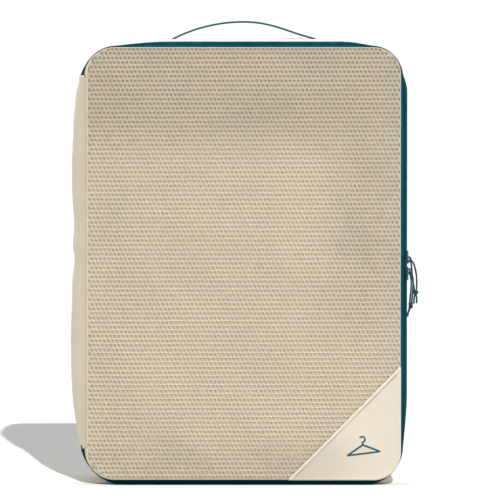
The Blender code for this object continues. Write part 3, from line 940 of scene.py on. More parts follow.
def make_net(finish):
    """The open net: one ring of strand round each hole, on a staggered lattice."""
    half = NET_PITCH_X / 2
    corner_z = (NET_PITCH_Z**2 + half**2 - 2 * half**2) / (2 * NET_PITCH_Z)
    tip_z = (NET_PITCH_Z**2 + half**2) / (2 * NET_PITCH_Z)
    cell = [(0, tip_z), (half, corner_z), (half, -corner_z), (0, -tip_z), (-half, -corner_z)]
    cell.append((-half, corner_z))
    hole = [(0, 1.0), (0.92, 0.52), (0.92, -0.52), (0, -1.0), (-0.92, -0.52), (-0.92, 0.52)]
    verts, faces, flat = [], [], []
    known = {}
    used = {}

    def ridge(x, z):
        """The two vertices, front and back, where neighbouring rings meet."""
        key = (round(x * 1e5), round(z * 1e5))
        if key not in known:
            x, z = keep_inside(x, z, NET_INSET)
            y = panel_y(x, z)
            known[key] = len(verts)
            verts.extend([(x, y, z), (x, y + NET_THICK, z)])
            # The third cloth value is painted shade on the strands
            flat.extend([(x, z, painted_mesh_shade(x, z) * 0.00015)] * 2)
        return known[key]

    columns = int(PANEL_W / NET_PITCH_X / 2) + 2
    rows = int(PANEL_H / NET_PITCH_Z / 2) + 2
    for row in range(-rows, rows + 1):
        z0 = PANEL_MID + row * NET_PITCH_Z
        for column in range(-columns, columns + 1):
            x0 = PANEL_X + (column + (row % 2) / 2) * NET_PITCH_X
            inside = inside_distance(x0, z0)
            if inside < -0.0006:
                continue
            ring = [ridge(x0 + dx, z0 + dz) for dx, dz in cell]
            if len({tuple(verts[i]) for i in ring}) < 6:
                continue
            for i, j in zip(ring, ring[1:] + ring[:1], strict=True):
                used[(i, j)] = used.get((i, j), 0) + 1
            if inside < 0.0005:
                faces.append(tuple(ring))
                faces.append(tuple(i + 1 for i in reversed(ring)))
                continue
            first = len(verts)
            wide = HOLE_X * (1 + 0.10 * soft(x0 * 900, 0, z0 * 900, 4))
            tall = HOLE_Z * (1 + 0.10 * soft(x0 * 900, 0, z0 * 900, 5))
            for dx, dz in hole:
                x, z = keep_inside(x0 + dx * wide, z0 + dz * tall, HOLE_INSET)
                verts.append((x, panel_y(x, z) + NET_THICK * 0.42, z))
                # Painted shade on the strands round each hole
                flat.append((x, z, painted_mesh_shade(x, z) * 0.00018))
            for k in range(6):
                m = (k + 1) % 6
                faces.append((ring[k], ring[m], first + m, first + k))
                faces.append((ring[m] + 1, ring[k] + 1, first + k, first + m))
    for i, j in used:
        if (j, i) not in used:
            faces.append((j, i, i + 1, j + 1))
    net = add_mesh("mesh_net", (verts, faces, flat), finish)
    return place_piece(net, "flap", "mesh_cloth", "mesh_panel")


def make_ply(finish):
    """The fine cloth close behind the net."""
    inset = 0.0006
    xs = with_edges(even(PANEL_X - PANEL_W / 2 + inset, PANEL_RIGHT - inset, 0.004))
    zs = with_edges(even(PANEL_BOTTOM + inset, PANEL_TOP - inset, 0.004))
    outer = np.empty((len(xs), len(zs), 3))
    flat = np.zeros_like(outer)
    for i, x0 in enumerate(xs):
        for j, z0 in enumerate(zs):
            x, z = round_corner(x0, z0, inset)
            outer[i, j] = (x, panel_y(x, z) + NET_THICK + 0.0001, z)
            # Painted shade on the ply, stronger than on the strands
            flat[i, j] = (x, z, painted_mesh_shade(x, z) * 0.00028)
    ply = closed_sheet("mesh_backing", outer, outer + (0, 0.0002, 0), flat, finish)
    return place_piece(ply, "flap", "mesh_cloth")


def round_corner(x, z, inset):
    """Moves a point of a square-cornered sheet so that its corners follow the outline."""
    half_w = PANEL_W / 2 - inset
    half_h = PANEL_H / 2 - inset
    off_x = x - PANEL_X
    off_z = z - PANEL_MID
    reach = CORNER_R - inset
    over_x = (abs(off_x) - (half_w - reach)) / reach
    over_z = (abs(off_z) - (half_h - reach)) / reach
    if over_x > 0 and over_z > 0:
        disc_x = over_x * math.sqrt(1 - over_z**2 / 2)
        disc_z = over_z * math.sqrt(1 - over_x**2 / 2)
        off_x = math.copysign(half_w - reach + disc_x * reach, off_x)
        off_z = math.copysign(half_h - reach + disc_z * reach, off_z)
    return PANEL_X + off_x, PANEL_MID + off_z


def ear_width(distance):
    """How far the panel's edge stands out round the zip's ends, where it wraps the corner."""
    past = min(abs(distance - ZIP_START), abs(ZIP_END - distance))
    if ZIP_START <= distance <= ZIP_END:
        return 0.0023 * smooth(past / 0.002) * math.exp(-((past / 0.0165) ** 2))
    return 0.0


# The mesh's turned edge, as a closed section of (lift, y)
RIM = [
    (-0.0003, -0.04793), (-0.0001, -0.04805), (0.0001, -0.04795), (0.0004, -0.04755),
    (0.0005, -0.04700), (0.0005, -0.04650), (0.0002, -0.04640), (0.0000, -0.04690),
    (-0.0002, -0.04745), (-0.0003, -0.04770),
]


def make_rim(finish):
    """The mesh's turned edge, swept round the panel."""
    along = even(0, AROUND, 0.003)[:-1]
    verts, flat = [], []
    girth = run_along(RIM)
    for distance in along:
        ear = ear_width(distance)
        for k, (lift, y) in enumerate(RIM):
            x, z = edge_point(distance, lift + (ear if lift > 0 else 0.0))
            verts.append((x, y, z))
            flat.append((distance, girth[k], 0))
    faces = ring_faces(len(along), len(RIM), closed=True)
    return place_piece(add_mesh("mesh_rim", (verts, faces, flat), finish), "flap", "mesh_cloth")


def make_flap():
    net = make_net(knitted("mesh_strand", STRAND))
    backing = make_ply(knitted("mesh_ply", BACKING, stain=0.10, yarn=0.45, depth=0.00014))
    rim = make_rim(knitted("mesh_edge", shade(STRAND, 0.98)))


def patch_sag(x, z):
    """How far the patch sinks into the mesh, with the soft dents of its own cloth."""
    return 0.0006 * soft(x * 30, 0, z * 30, 6) * smooth(inside_distance(x, z) / 0.02)


PATCH_TOP = (PANEL_RIGHT, PANEL_BOTTOM + PATCH_HEIGHT)
PATCH_LOW = (PANEL_RIGHT - PATCH_WIDTH, PANEL_BOTTOM)
PATCH_START = STARTS[5] - (PATCH_HEIGHT - CORNER_R)
PATCH_END = STARTS[6] + (PATCH_WIDTH - CORNER_R)
PATCH_INSET = 0.0012
PATCH_LIFT = 0.0009
PATCH_THICK = 0.0007
PATCH_ROLL = [(-0.0003, -0.04925), (0.0004, -0.04885), (0.0008, -0.04820), (0.0009, -0.04730)]
PATCH_ROLL.append((0.0009, -0.04660))


def patch_point(share, across):
    """A point on the patch's outer face.

    share runs from its right end to its bottom end. across runs from its hypotenuse, 0, to the
    panel's edge, 1, and on over the rolled edge, 2.
    """
    distance = PATCH_START + (PATCH_END - PATCH_START) * share
    if across <= 1:
        slope = between(PATCH_TOP, PATCH_LOW, share)
        x, z = between(slope, edge_point(distance, -PATCH_INSET), across)
        x, z = keep_inside(x, z, PATCH_INSET)
        return (x, panel_y(x, z) - PATCH_LIFT + patch_sag(x, z), z)
    level = (across - 1) * len(PATCH_ROLL) - 1
    low_row = int(max(math.floor(level), 0))
    high_row = min(low_row + 1, len(PATCH_ROLL) - 1)
    lift, y = between(PATCH_ROLL[low_row], PATCH_ROLL[high_row], level - low_row)
    x, z = edge_point(distance, lift)
    return (x, y, z)


def make_patch(cloth):
    columns = 72
    shares = [0.004 + 0.992 * k / columns for k in range(columns + 1)]
    levels = [k / 26 for k in range(27)] + [1 + (k + 1) / 5 for k in range(5)]
    outer = np.array([[patch_point(s, a) for a in levels] for s in shares])
    inner = outer.copy()
    for i, share in enumerate(shares):
        out = edge_at(PATCH_START + (PATCH_END - PATCH_START) * share)[1]
        for j, level in enumerate(levels):
            back = min(max(level - 1, 0.0) * 2.2, 1.0)
            inner[i, j] -= np.array([out[0], 0, out[1]]) * 0.0004 * back
            inner[i, j, 1] += PATCH_THICK * (1 - back)
    flat = flat_copy(outer)
    lean = math.sqrt(0.5)
    turned = flat.copy()
    turned[:, :, 0] = (flat[:, :, 0] + flat[:, :, 1]) * lean
    turned[:, :, 1] = (flat[:, :, 1] - flat[:, :, 0]) * lean
    # Painted shade: the patch is darker towards its lower left, away from the light
    painted_patch_shade = (0.118 - outer[:, :, 0] - 0.35 * outer[:, :, 2]) * 2.4
    turned[:, :, 2] = np.clip(painted_patch_shade, 0, 0.17) / MM
    patch = closed_sheet("patch_cloth_sheet", outer, inner, turned, cloth)
    place_piece(patch, "flap", "patch_cloth", "corner_patch")
    # The hem is the patch cloth made a tenth lighter: a painted highlight on the raised fold
    hem = make_hem(woven("hem_weave_painted_highlight", shade(PATCH_CREAM, 1.10), pitch=0.5, depth=0.00008))
    # The patch stitches' thread is tan; its darkness is partly painted shade for the groove they
    # sink into
    tan = woven("tan_thread_and_groove_shade", shade(STRAND, 0.52), pitch=0.25, depth=0.00005)
    route = [(k / 60, 0.00325) for k in range(3, 58)]
    line = sew("patch_stitches", on_patch, route, PATCH_STITCH, tan, "flap", "patch_cloth")


def on_patch(share, inward):
    """A point on the patch at a distance in from its hypotenuse."""
    x, z = between(PATCH_TOP, PATCH_LOW, share)
    size = math.hypot(PATCH_WIDTH, PATCH_HEIGHT)
    x += PATCH_HEIGHT / size * inward
    z -= PATCH_WIDTH / size * inward
    x, z = keep_inside(x, z, -0.0007)
    return (x, panel_y(x, z) - PATCH_LIFT - 0.00005, z)


# The hem's section: how far in from the hypotenuse, and its height in millimetres, out negative
HEM = [(0.0, 0.45), (0.0001, 0.0), (0.0003, -0.50), (0.0008, -0.78), (0.0014, -0.82)]
HEM += [(0.0020, -0.62), (0.0024, -0.22), (0.0026, 0.30), (0.0012, 0.45)]


def make_hem(cloth):
    """The folded edge along the patch's hypotenuse: a soft roll that is sewn down inside."""
    steps = 110
    verts, flat = [], []
    for k in range(steps + 1):
        share = 0.001 + 0.998 * k / steps
        puff = 1 + 0.10 * math.sin(k * 0.75) + 0.10 * soft(k * 0.23, 0, 0, 7)
        near_end = smooth(min(k, steps - k) / 2.5)
        for inward, level in HEM:
            x, y, z = on_patch(share, inward)
            grow = (0.3 + 0.7 * near_end) * puff if level < 0 else 1.0
            verts.append((x, y + level * 0.001 * grow, z))
            flat.append((share * 0.144, inward * 1.2, 0))
    hem = add_mesh("patch_hem_fold", (verts, ring_faces(steps + 1, len(HEM)), flat), cloth)
    return place_piece(hem, "flap", "patch_cloth", "patch_hem")


def make_mark(finish):
    """A small printed pictogram of a coat hanger on the patch, with no lettering."""
    centre = (0.1095, 0.0352)
    turn = math.radians(7)
    half_w = 0.0150
    shoulders = [(-half_w, -0.0062), (0.0, 0.0018), (half_w, -0.0062), (-half_w, -0.0062)]
    hook = [(0.0, 0.0018), (0.0, 0.0042)]
    hook += [
        (0.0026 * math.sin(a), 0.0068 - 0.0026 * math.cos(a))
        for a in np.linspace(0, math.pi * 1.28, 10)
    ]
    parts = []
    for line, width in ((shoulders, 0.0017), (hook, 0.0016)):
        dense = []
        for p, q in zip(line, line[1:], strict=False):
            pieces = max(int(math.dist(p, q) / 0.0012), 1)
            dense += [between(p, q, k / pieces) for k in range(pieces)]
        dense.append(line[-1])
        parts.append(print_line(dense, width, centre, turn))
    place_piece(add_mesh("patch_print", merged(parts), finish), "flap", "patch_cloth")


def print_line(line, width, centre, turn):
    """A flat inked line on the patch."""
    path = np.array(line, float)
    ahead = directions(path)
    side = np.stack([-ahead[:, 1], ahead[:, 0]], -1) * width / 2
    c, s = math.cos(turn), math.sin(turn)
    section = [(-1.0, 0.00006), (-0.8, 0.00014), (0.8, 0.00014), (1.0, 0.00006)]
    section += [(1.0, -0.0002), (-1.0, -0.0002)]
    verts, flat = [], []
    for point, off in zip(path, side, strict=True):
        for share, rise in section:
            px, pz = point + off * share
            x = centre[0] + px * c - pz * s
            z = centre[1] + px * s + pz * c
            verts.append((x, panel_y(x, z) - PATCH_LIFT + patch_sag(x, z) - rise, z))
            flat.append((x, z, 0))
    return verts, ring_faces(len(path), len(section)), flat


# ---------------------------------------------------------------- zip

# The tapes' thickness and their sections, (y, lift), and the coil of the zip
TAPE = 0.0005
FLAP_TAPE = [
    (-0.0475, -0.0003), (-0.0464, 0.0), (-0.0446, 0.0), (-0.0425, 0.0), (-0.0402, 0.0),
    (-0.0388, 0.0),
    (-0.0377, -0.00012), (-0.0368, -0.0005), (-0.0359, -0.00065), (-0.0342, -0.00065),
]
CASE_TAPE = [
    (-0.0328, -0.00065), (-0.0311, -0.00065), (-0.0302, -0.0005), (-0.0293, -0.00012),
    (-0.0282, 0.0), (-0.0262, 0.0), (-0.0240, 0.0), (-0.0222, -0.0001), (-0.0206, -0.0006),
    (-0.0186, -0.0010),
]
COIL_PITCH = 0.0014
WIRE = 0.00030
COIL_HALF_W = 0.00097
COIL_HALF_H = 0.00035


def coil_mesh(name, middle_y, way, finish, thread):
    """Half of a coil zip: one continuous spiral, with the two threads that sew it down."""
    start = ZIP_START + STOP_LENGTH + GAP
    end = ZIP_END - STOP_LENGTH - GAP
    turns = int((end - start) / COIL_PITCH)
    samples = 12
    count = turns * samples
    path, top, low = [], [], []
    for k in range(count + 1):
        angle = k / samples * 2 * math.pi
        distance = start + (end - start) * k / count
        y = middle_y + way * COIL_HALF_W * math.cos(angle)
        path.append(wall_point(distance, y, COIL_HALF_H * math.sin(angle)))
        if k % 4 == 0:
            rise = 0.00055 + 0.00010 * math.sin(angle + 0.6)
            top.append(wall_point(distance, middle_y - way * 0.00050, rise))
            low.append(wall_point(distance, middle_y - way * 0.00005, rise))
    coil = add_mesh(name, tube(path, WIRE, 5), finish, outward=False)
    lines = merged([tube(line, 0.00013, 4) for line in (top, low)])
    return coil, add_mesh(f"{name}_thread", lines, thread, outward=False)


def on_tape(distance, y):
    return wall_point(distance, y, 0.00004)


def make_zip():
    tape = ribbed("zip_tape_weave", TEAL, rib=0.85, across=1.9)
    nylon = moulded("zip_nylon", COIL_TEAL, 0.5, specular=0.1)
    thread = ribbed("zip_thread", shade(TEAL, 1.5), rib=0.5, across=0.6, depth=0.00005)
    span = (ZIP_START, ZIP_END)
    # dark=0.8 paints shade on the tapes' band next to the floor
    flap_tape = wall_sheet("zip_tape_front", span, 0.0030, FLAP_TAPE, TAPE, tape, dark=0.8)
    case_tape = wall_sheet("zip_tape_rear", span, 0.0030, CASE_TAPE, TAPE, tape, dark=0.8)
    place_piece(flap_tape, "flap", "zip_tape", "zip_tape_flap")
    place_piece(case_tape, "case", "zip_tape", "zip_tape_case")
    trims = {}
    for body, middle, way in (("flap", -0.03520, 1), ("case", -0.03180, -1)):
        coil, sewing = coil_mesh(f"zip_spiral_{body}", middle, way, nylon, thread)
        place_piece(coil, body, "zip_coil", f"zip_coil_{body}")
        place_piece(sewing, body, "zip_tape")
        trims[body] = [coil, sewing]
    for end, line_y, body in (("front", -0.0448, "flap"), ("rear", -0.0236, "case")):
        route = [(s, line_y) for s in even(ZIP_START + 0.002, ZIP_END - 0.002, ROUTE_STEP)]
        seam = sew(f"zip_seam_{end}", on_tape, route, ZIP_STITCH, thread, body, "zip_tape")
        trims[body].append(seam)
    for node in ("zip_stop_top", "zip_stop_bottom"):
        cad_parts[node].material_slots[0].material = nylon


# ---------------------------------------------------------------- sliders

SLIDER_X = 0.14779


def rounded_plate(low_x, high_x, outline, bevel):
    """A plate in the YZ plane between two X values, with softened edges."""
    form = bmesh.new()
    ring = [form.verts.new((low_x, y, z)) for y, z in outline]
    face = form.faces.new(ring)
    raised = bmesh.ops.extrude_face_region(form, geom=[face])
    for vert in raised["geom"]:
        if isinstance(vert, bmesh.types.BMVert):
            vert.co.x = high_x
    bmesh.ops.recalc_face_normals(form, faces=form.faces[:])
    flat_edges = [e for e in form.edges if abs(e.verts[0].co.x - e.verts[1].co.x) < 1e-7]
    bmesh.ops.bevel(form, geom=flat_edges, offset=bevel, segments=3, profile=0.5, affect="EDGES")
    mesh = bpy.data.meshes.new("plate")
    form.to_mesh(mesh)
    form.free()
    return mesh


def slider_outline(nose):
    """Wide round shoulders at the nose and a narrower square tail, as (y, z)."""
    half = [(0.0, 0.0060), (0.0012, 0.0059), (0.0026, 0.0054), (0.0038, 0.0044)]
    half += [(0.0043, 0.0030), (0.0043, 0.0012), (0.0039, -0.0010), (0.0036, -0.0030)]
    half += [(0.0036, -0.0052), (0.0033, -0.0058), (0.0027, -0.0060)]
    ring = half + [(-y, z) for y, z in reversed(half) if y > 0]
    return [(y, z * nose) for y, z in ring]


def make_slider(side, nose, finish):
    name = f"slider_{side}"
    low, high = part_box(name)
    middle = Vector((SLIDER_X, ZIP_Y, (low.z + high.z) / 2))
    plate = slider_outline(nose)
    sides = ((0.0020, 0.0031), (-0.0031, -0.0020))
    shapes = [rounded_plate(*side_x, plate, 0.00035) for side_x in sides]
    post_z = nose * 0.0034
    post = [(-0.0003, post_z - 0.0018), (0.0003, post_z - 0.0018)]
    post += [(0.00038, post_z + 0.0018), (-0.00038, post_z + 0.0018)]
    shapes.append(rounded_plate(-0.0022, 0.0022, post, 0.00005))
    for way in (-1, 1):
        wall = [(way * 0.0036, nose * 0.0024), (way * 0.0043, nose * 0.0024)]
        wall += [(way * 0.0036, nose * -0.0056), (way * 0.0031, nose * -0.0056)]
        for side_x in ((0.0011, 0.0024), (-0.0024, -0.0012)):
            shapes.append(rounded_plate(*side_x, wall, 0.0002))
    shapes.append(bridge_mesh(nose * 0.0018))
    pieces = [add_object(f"{name}_part_{index}", mesh) for index, mesh in enumerate(shapes)]
    base = pieces[0]
    for other in pieces[1:]:
        cut = base.modifiers.new("join", "BOOLEAN")
        cut.operation = "UNION"
        cut.object = other
    bpy.context.view_layer.update()
    graph = bpy.context.evaluated_depsgraph_get()
    form = bmesh.new()
    form.from_mesh(base.evaluated_get(graph).to_mesh())
    bmesh.ops.translate(form, vec=middle, verts=form.verts[:])
    mesh = bpy.data.meshes.new(f"{name}_body")
    form.to_mesh(mesh)
    form.free()
    for made in pieces:
        bpy.data.objects.remove(made)
    mesh.materials.clear()
    mesh.materials.append(finish)
    mesh.polygons.foreach_set("use_smooth", [True] * len(mesh.polygons))
    mesh.set_sharp_from_angle(angle=math.radians(40))
    place_piece(add_object(f"{name}_body", mesh), name, "slider_metal", name)


def bridge_mesh(shift):
    """The low arch over the slider's outer plate, with a hole just wide enough for the cord."""
    legs = [(0.0028, -0.0019, 0.0010), (0.0035, -0.0019, 0.0010), (0.0042, -0.0019, 0.0010)]
    legs += [(0.0049, -0.0016, 0.0007), (0.0053, -0.0009, 0.0005)]
    line = [*legs, (0.00555, 0.0, 0.00035), *[(x, -z, r) for x, z, r in reversed(legs)]]
    path = np.array([tuple(point) for point in rounded(line, 4)])
    centre = path[:, :2] + np.array([0.0, shift])
    ahead = directions(centre)
    out = np.stack([ahead[:, 1], -ahead[:, 0]], -1)
    section = [(-1.0, -0.6), (-0.6, -1.0), (0.6, -1.0), (1.0, -0.6), (1.0, 0.6), (0.6, 1.0)]
    section += [(-0.6, 1.0), (-1.0, 0.6)]
    verts = []
    for place, normal, thick in zip(centre, out, path[:, 2], strict=True):
        for across, rise in section:
            x, z = place + normal * rise * thick
            verts.append((x, across * 0.0012, z))
    mesh = bpy.data.meshes.new("bridge")
    mesh.from_pydata(verts, [], ring_faces(len(centre), len(section)))
    turn_outward(mesh)
    return mesh


# ---------------------------------------------------------------- cloth walls and back


def gather(reach, value):
    """How deep a gather is at its reach from a seam, for a smooth noise value along the seam."""
    return 0.0016 * reach / 0.004 * math.exp(-reach / 0.0065) * max(value - 0.05, 0.0)


def crease(value):
    """A sharp fold inward along the line where a smooth noise crosses nought."""
    return -0.0020 * max(1 - 4.5 * abs(value), 0)


def pucker(distance, y, front, back):
    """Small gathers that run in from the two lines of stitches, front and back."""
    inward = 0.0
    for seam, way in ((front, 1), (back, -1)):
        reach = max((y - seam) * way, 0.0)
        inward += gather(reach, soft(distance * 150, reach * 60, seam * 90, 18))
    return -inward


def wrinkle(distance, y):
    """How far the slack cloth wall stands in from its full shape: mostly inward, never far."""
    (x, z), _, _ = edge_at(distance)
    deep = smooth((y + 0.021) / 0.02) * smooth((0.0485 - y) / 0.014)
    still = 0.12 if z < -PANEL_H / 2 + 0.012 else 1.0
    if z > PANEL_H / 2 - 0.010:
        still *= 1 - 0.9 * smooth((0.088 - abs(x)) / 0.02)
    lean = 0.5 * (y - 0.01)
    broad = 0.0034 * (soft(x * 11, y * 16, z * 11, 8) - 0.15)
    fold = crease(soft(x * 15 + lean * 40, y * 6, z * 15 + lean * 40, 9))
    inward = broad + fold + 0.0004 * soft(x * 80, y * 40, z * 80, 10)
    return min(inward, 0.0004) * deep * still + pucker(distance, y, -0.0190, 0.0434)


# The spine's fullness against its height, and its dents: height, size and depth
SPINE_FILL = [(0.035, -0.0002), (0.049, 0.0012), (0.065, 0.0020), (0.095, 0.0026)]
SPINE_FILL += [(0.122, 0.0034), (0.141, 0.0026), (0.160, 0.0017), (0.180, 0.0010)]
SPINE_FILL += [(0.200, 0.0016), (0.217, 0.0013), (0.229, 0.0003), (0.250, 0.0013)]
SPINE_FILL += [(0.293, 0.0011), (0.315, 0.0004), (0.334, 0.0014), (0.357, 0.0021)]
SPINE_FILL += [(0.372, 0.0004)]
SPINE_DENTS = ((0.241, 0.020, 0.0016), (0.203, 0.012, 0.0026), (0.120, 0.016, 0.0008))


def spine_shape(distance, y):
    """The spine's own folds: dents across it where the empty cloth gives way."""
    z = PANEL_MID + (distance if distance < AROUND / 2 else distance - AROUND)
    deep = smooth((y + 0.0464) / 0.018) * smooth((0.0485 - y) / 0.012)
    inward = float(np.interp(z, *zip(*SPINE_FILL, strict=True)))
    for height, size, depth in SPINE_DENTS:
        lean = z - height - 0.12 * (y + 0.02)
        inward -= depth * math.exp(-((lean / size) ** 2))
    ripple = 0.0007 * (soft(z * 26, y * 12, 0, 11) - 0.1) + 0.0004 * soft(z * 60, y * 50, 0, 12)
    rear = smooth((y + 0.002) / 0.016)
    slope = z * 13 + y * 22
    slack = 0.0034 * (soft(z * 11, y * 15, 0, 19) - 0.15) + crease(soft(slope, y * 7, 0, 20))
    ripple = min(ripple, 0.0003) + min(slack, 0.0003) * rear
    return (inward + ripple) * deep + pucker(distance, y, -0.0430, 0.0434) + lap(distance)


def lap(distance):
    """The spine's end hems lie over the cloth round the corners."""
    past = max(distance - (ZIP_END_TOP - PANEL_MID), (ZIP_END_BOTTOM - PANEL_MID) - distance)
    return 0.0009 * smooth((past + 0.0012) / 0.0012)


# The walls' sections, (y, lift): the fold or hem in front, the sewn grooves and the back seam
CLOTH_THICK = 0.0011
BACK_SEW = 0.0434
GUSSET_SEW = -0.0184
SPINE_SEW = -0.0440
REAR_ROWS = [(0.0425, 0.0), (BACK_SEW, -0.0002), (0.0443, 0.0), (0.0462, 0.0), (0.0478, -0.0002)]
REAR_ROWS.append((WALL_BACK, -0.0008))
GUSSET_ROWS = [(-0.0205, 0.0), (-0.0198, 0.00005), (-0.0190, 0.0), (GUSSET_SEW, -0.00025)]
GUSSET_ROWS += [(-0.0178, 0.0), (-0.0165, 0.00008), (-0.0150, 0.0)]
GUSSET_ROWS += [(y, 0.0) for y in np.linspace(-0.0125, 0.0405, 20)] + REAR_ROWS
SPINE_ROWS = [(WALL_FRONT, -0.0009), (-0.0460, -0.0004), (-0.0450, 0.0), (SPINE_SEW, -0.0003)]
SPINE_ROWS.append((-0.0432, 0.0))
SPINE_ROWS += [(y, 0.0) for y in np.linspace(-0.0410, 0.0405, 30)] + REAR_ROWS
SEAMS = (STARTS[3] + ARC_RUN / 2, STARTS[5] + ARC_RUN / 2)


def gusset_shape(distance, y):
    """Wrinkles, with a pinched seam across the wall at each right-hand corner."""
    pinch = 0.0
    for seam in SEAMS:
        pinch += 0.0007 * math.exp(-(((distance - seam) / 0.0011) ** 2))
    return wrinkle(distance, y) - pinch


def sew_wall(name, span, front, rows, shape, thread):
    """The two lines of stitches along a wall, in its front and its back groove."""

    def surface(distance, y):
        lift = float(np.interp(y, *zip(*rows, strict=True)))
        return wall_point(distance, y, lift + shape(distance, y))

    lines = []
    for end, y in (("front", front), ("back", BACK_SEW)):
        route = [(s, y) for s in even(span[0] + 0.003, span[1] - 0.003, ROUTE_STEP)]
        row = f"{name}_stitches_{end}"
        lines.append(sew(row, surface, route, WALL_STITCH, thread, "case", "case_cloth"))
    return lines


def make_walls(cloth, binding, thread):
    make_gusset(cloth, thread)
    make_spine(cloth, thread)
    make_back(cloth, thread)
    whole = (0.0, AROUND - 0.0002)
    for name, y0, body, span in (
        ("flap_binding", WALL_FRONT, "flap", (ZIP_START, ZIP_END)),
        ("back_binding", WALL_BACK - GAP - 0.008, "case", whole),
    ):
        across = enumerate(np.linspace(y0 + 0.0002, y0 + 0.0078, 7))
        crown = [(y, -0.0021 - 0.0003 * abs(2 * k / 6 - 1) ** 3) for k, y in across]
        tape = wall_sheet(f"{name}_tape", span, 0.0035, crown, 0.0008, binding)
        place_piece(tape, body, "binding_cloth", name)


def make_gusset(cloth, thread):
    start = ZIP_START + GAP
    end = ZIP_END - GAP
    span = (start, end)
    gusset = wall_sheet("gusset", span, 0.0030, GUSSET_ROWS, CLOTH_THICK, cloth, gusset_shape)
    place_piece(gusset, "case", "case_cloth", "gusset_top", "gusset_right", "gusset_bottom")
    lines = sew_wall("gusset", span, GUSSET_SEW, GUSSET_ROWS, gusset_shape, thread)


def make_spine(cloth, thread):
    low = ZIP_END_BOTTOM - PANEL_MID
    high = ZIP_END_TOP - PANEL_MID
    spine = wall_sheet(
        "spine_cloth", (low, high), 0.0026, SPINE_ROWS, CLOTH_THICK, cloth, spine_shape,
        slant=0.0026,
    )
    place_piece(spine, "case", "case_cloth", "spine")
    lines = sew_wall("spine", (low, high), SPINE_SEW, SPINE_ROWS, spine_shape, thread)


BACK_GROOVE = 0.0062


def back_point(x0, z0):
    """A point of the back panel: the front outline, let out to the wall at the back seam."""
    x, z = round_corner(x0, z0, 0.0)
    near = inside_distance(x, z)
    off_x = x - PANEL_X
    off_z = z - PANEL_MID
    side_x = "right" if off_x > 0 else "left"
    side_z = "top" if off_z > 0 else "bottom"
    wide = []
    for side, along, size in ((side_x, off_z, PANEL_H), (side_z, off_x, PANEL_W)):
        before = max(size / 2 - CORNER_R + along, 0.0)
        after = max(size / 2 - CORNER_R - along, 0.0)
        if side in ("right", "bottom"):
            before, after = after, before
        wide.append(side_swell(side, before, after) * BACK_SWELL)
    share_x = smooth(1 - (PANEL_W / 2 - abs(off_x)) / 0.07)
    share_z = smooth(1 - (PANEL_H / 2 - abs(off_z)) / 0.07)
    x += math.copysign(wide[0] * share_x, off_x)
    z += math.copysign(wide[1] * share_z, off_z)
    fade = smooth((near - 0.006) / 0.05)
    slack = 0.0054 * soft(x0 * 14, 7, z0 * 10, 13) + 0.0005 * soft(x0 * 30, 3, z0 * 26, 14)
    fold = soft(x0 * 7 + z0 * 5, 5, z0 * 4 - x0 * 5, 21)
    other = soft(x0 * 8 - z0 * 5, 4, z0 * 5 + x0 * 5, 24)
    come = smooth(0.55 + 1.4 * soft(x0 * 7, 9, z0 * 7, 23))
    slack += 0.0026 * smooth(1 - 11 * abs(fold)) * come
    slack += 0.0020 * smooth(1 - 11 * abs(other)) * (1 - come)
    reach = max(near - 0.0070, 0.0)
    slack += gather(reach, soft(x0 * 130, near * 60, z0 * 130, 22))
    fine = 0.0003 * soft(x0 * 70, 3, z0 * 70, 15)
    groove = 0.00035 * math.exp(-(((near - BACK_GROOVE) / 0.0008) ** 2))
    y = 0.0499 - max(0.0022 + slack + fine, 0.0) * fade - groove
    roll = 0.0009 * smooth(1 - near / 0.0015)
    return (x, min(y, 0.0500) - roll, z)


def back_steps(size):
    """Places across the back, closer together where its edges roll and are sewn."""
    near_edge = [0.0, 0.0005, 0.0012, 0.0025, 0.0045, 0.0054, BACK_GROOVE]
    near_edge += [0.0070, 0.0080, 0.0110]
    far_edge = [size - step for step in reversed(near_edge)]
    return near_edge + even(0.0145, size - 0.0145, 0.0040) + far_edge


def make_back(cloth, thread):
    xs = [PANEL_X - PANEL_W / 2 + step for step in back_steps(PANEL_W)]
    zs = [PANEL_MID - PANEL_H / 2 + step for step in back_steps(PANEL_H)]
    outer = np.array([[back_point(x, z) for z in zs] for x in xs])
    inner = outer - np.array([0, 0.0010, 0])
    back = closed_sheet("back_cloth", outer, inner, flat_copy(outer), cloth)
    place_piece(back, "case", "case_cloth", "back_panel")
    route = [edge_point(distance, -BACK_GROOVE) for distance in even(0, AROUND, ROUTE_STEP)]
    line = sew("back_stitches", back_point, route, WALL_STITCH, thread, "case", "case_cloth")


def make_hinge(cloth, thread):
    """The flap's sewn edge: a rolled tape round the line that the flap turns on."""
    radius = 0.00100
    centre_x = HINGE[0] - 0.0006
    steps = even(ZIP_END_BOTTOM, ZIP_END_TOP, 0.0030)
    size = np.array([
        radius * (1 + 0.05 * soft(z * 160, 0, 0, 16)) * (0.45 if k in (0, len(steps) - 1) else 1)
        for k, z in enumerate(steps)
    ])
    shape = tube([(centre_x, HINGE[1], z) for z in steps], size, 16)
    roll = add_mesh("hinge_roll", shape, cloth)
    place_piece(roll, "flap", "binding_cloth", "hinge_tape")
    reach = radius + 0.00006

    def surface(z, turn):
        return (centre_x + reach * math.sin(turn), HINGE[1] - reach * math.cos(turn), z)

    route = [(z, 0.62) for z in steps[1:-1]]
    sew("hinge_stitches", surface, route, HINGE_STITCH, thread, "flap", "binding_cloth")


# ---------------------------------------------------------------- handle


def arch_height(across):
    """The height of the handle's arc over its ends, at a place across it."""
    radius = (HANDLE_SPAN**2 / 4 + HANDLE_RISE**2) / (2 * HANDLE_RISE)
    return math.sqrt(max(radius**2 - across**2, 0)) - (radius - HANDLE_RISE)


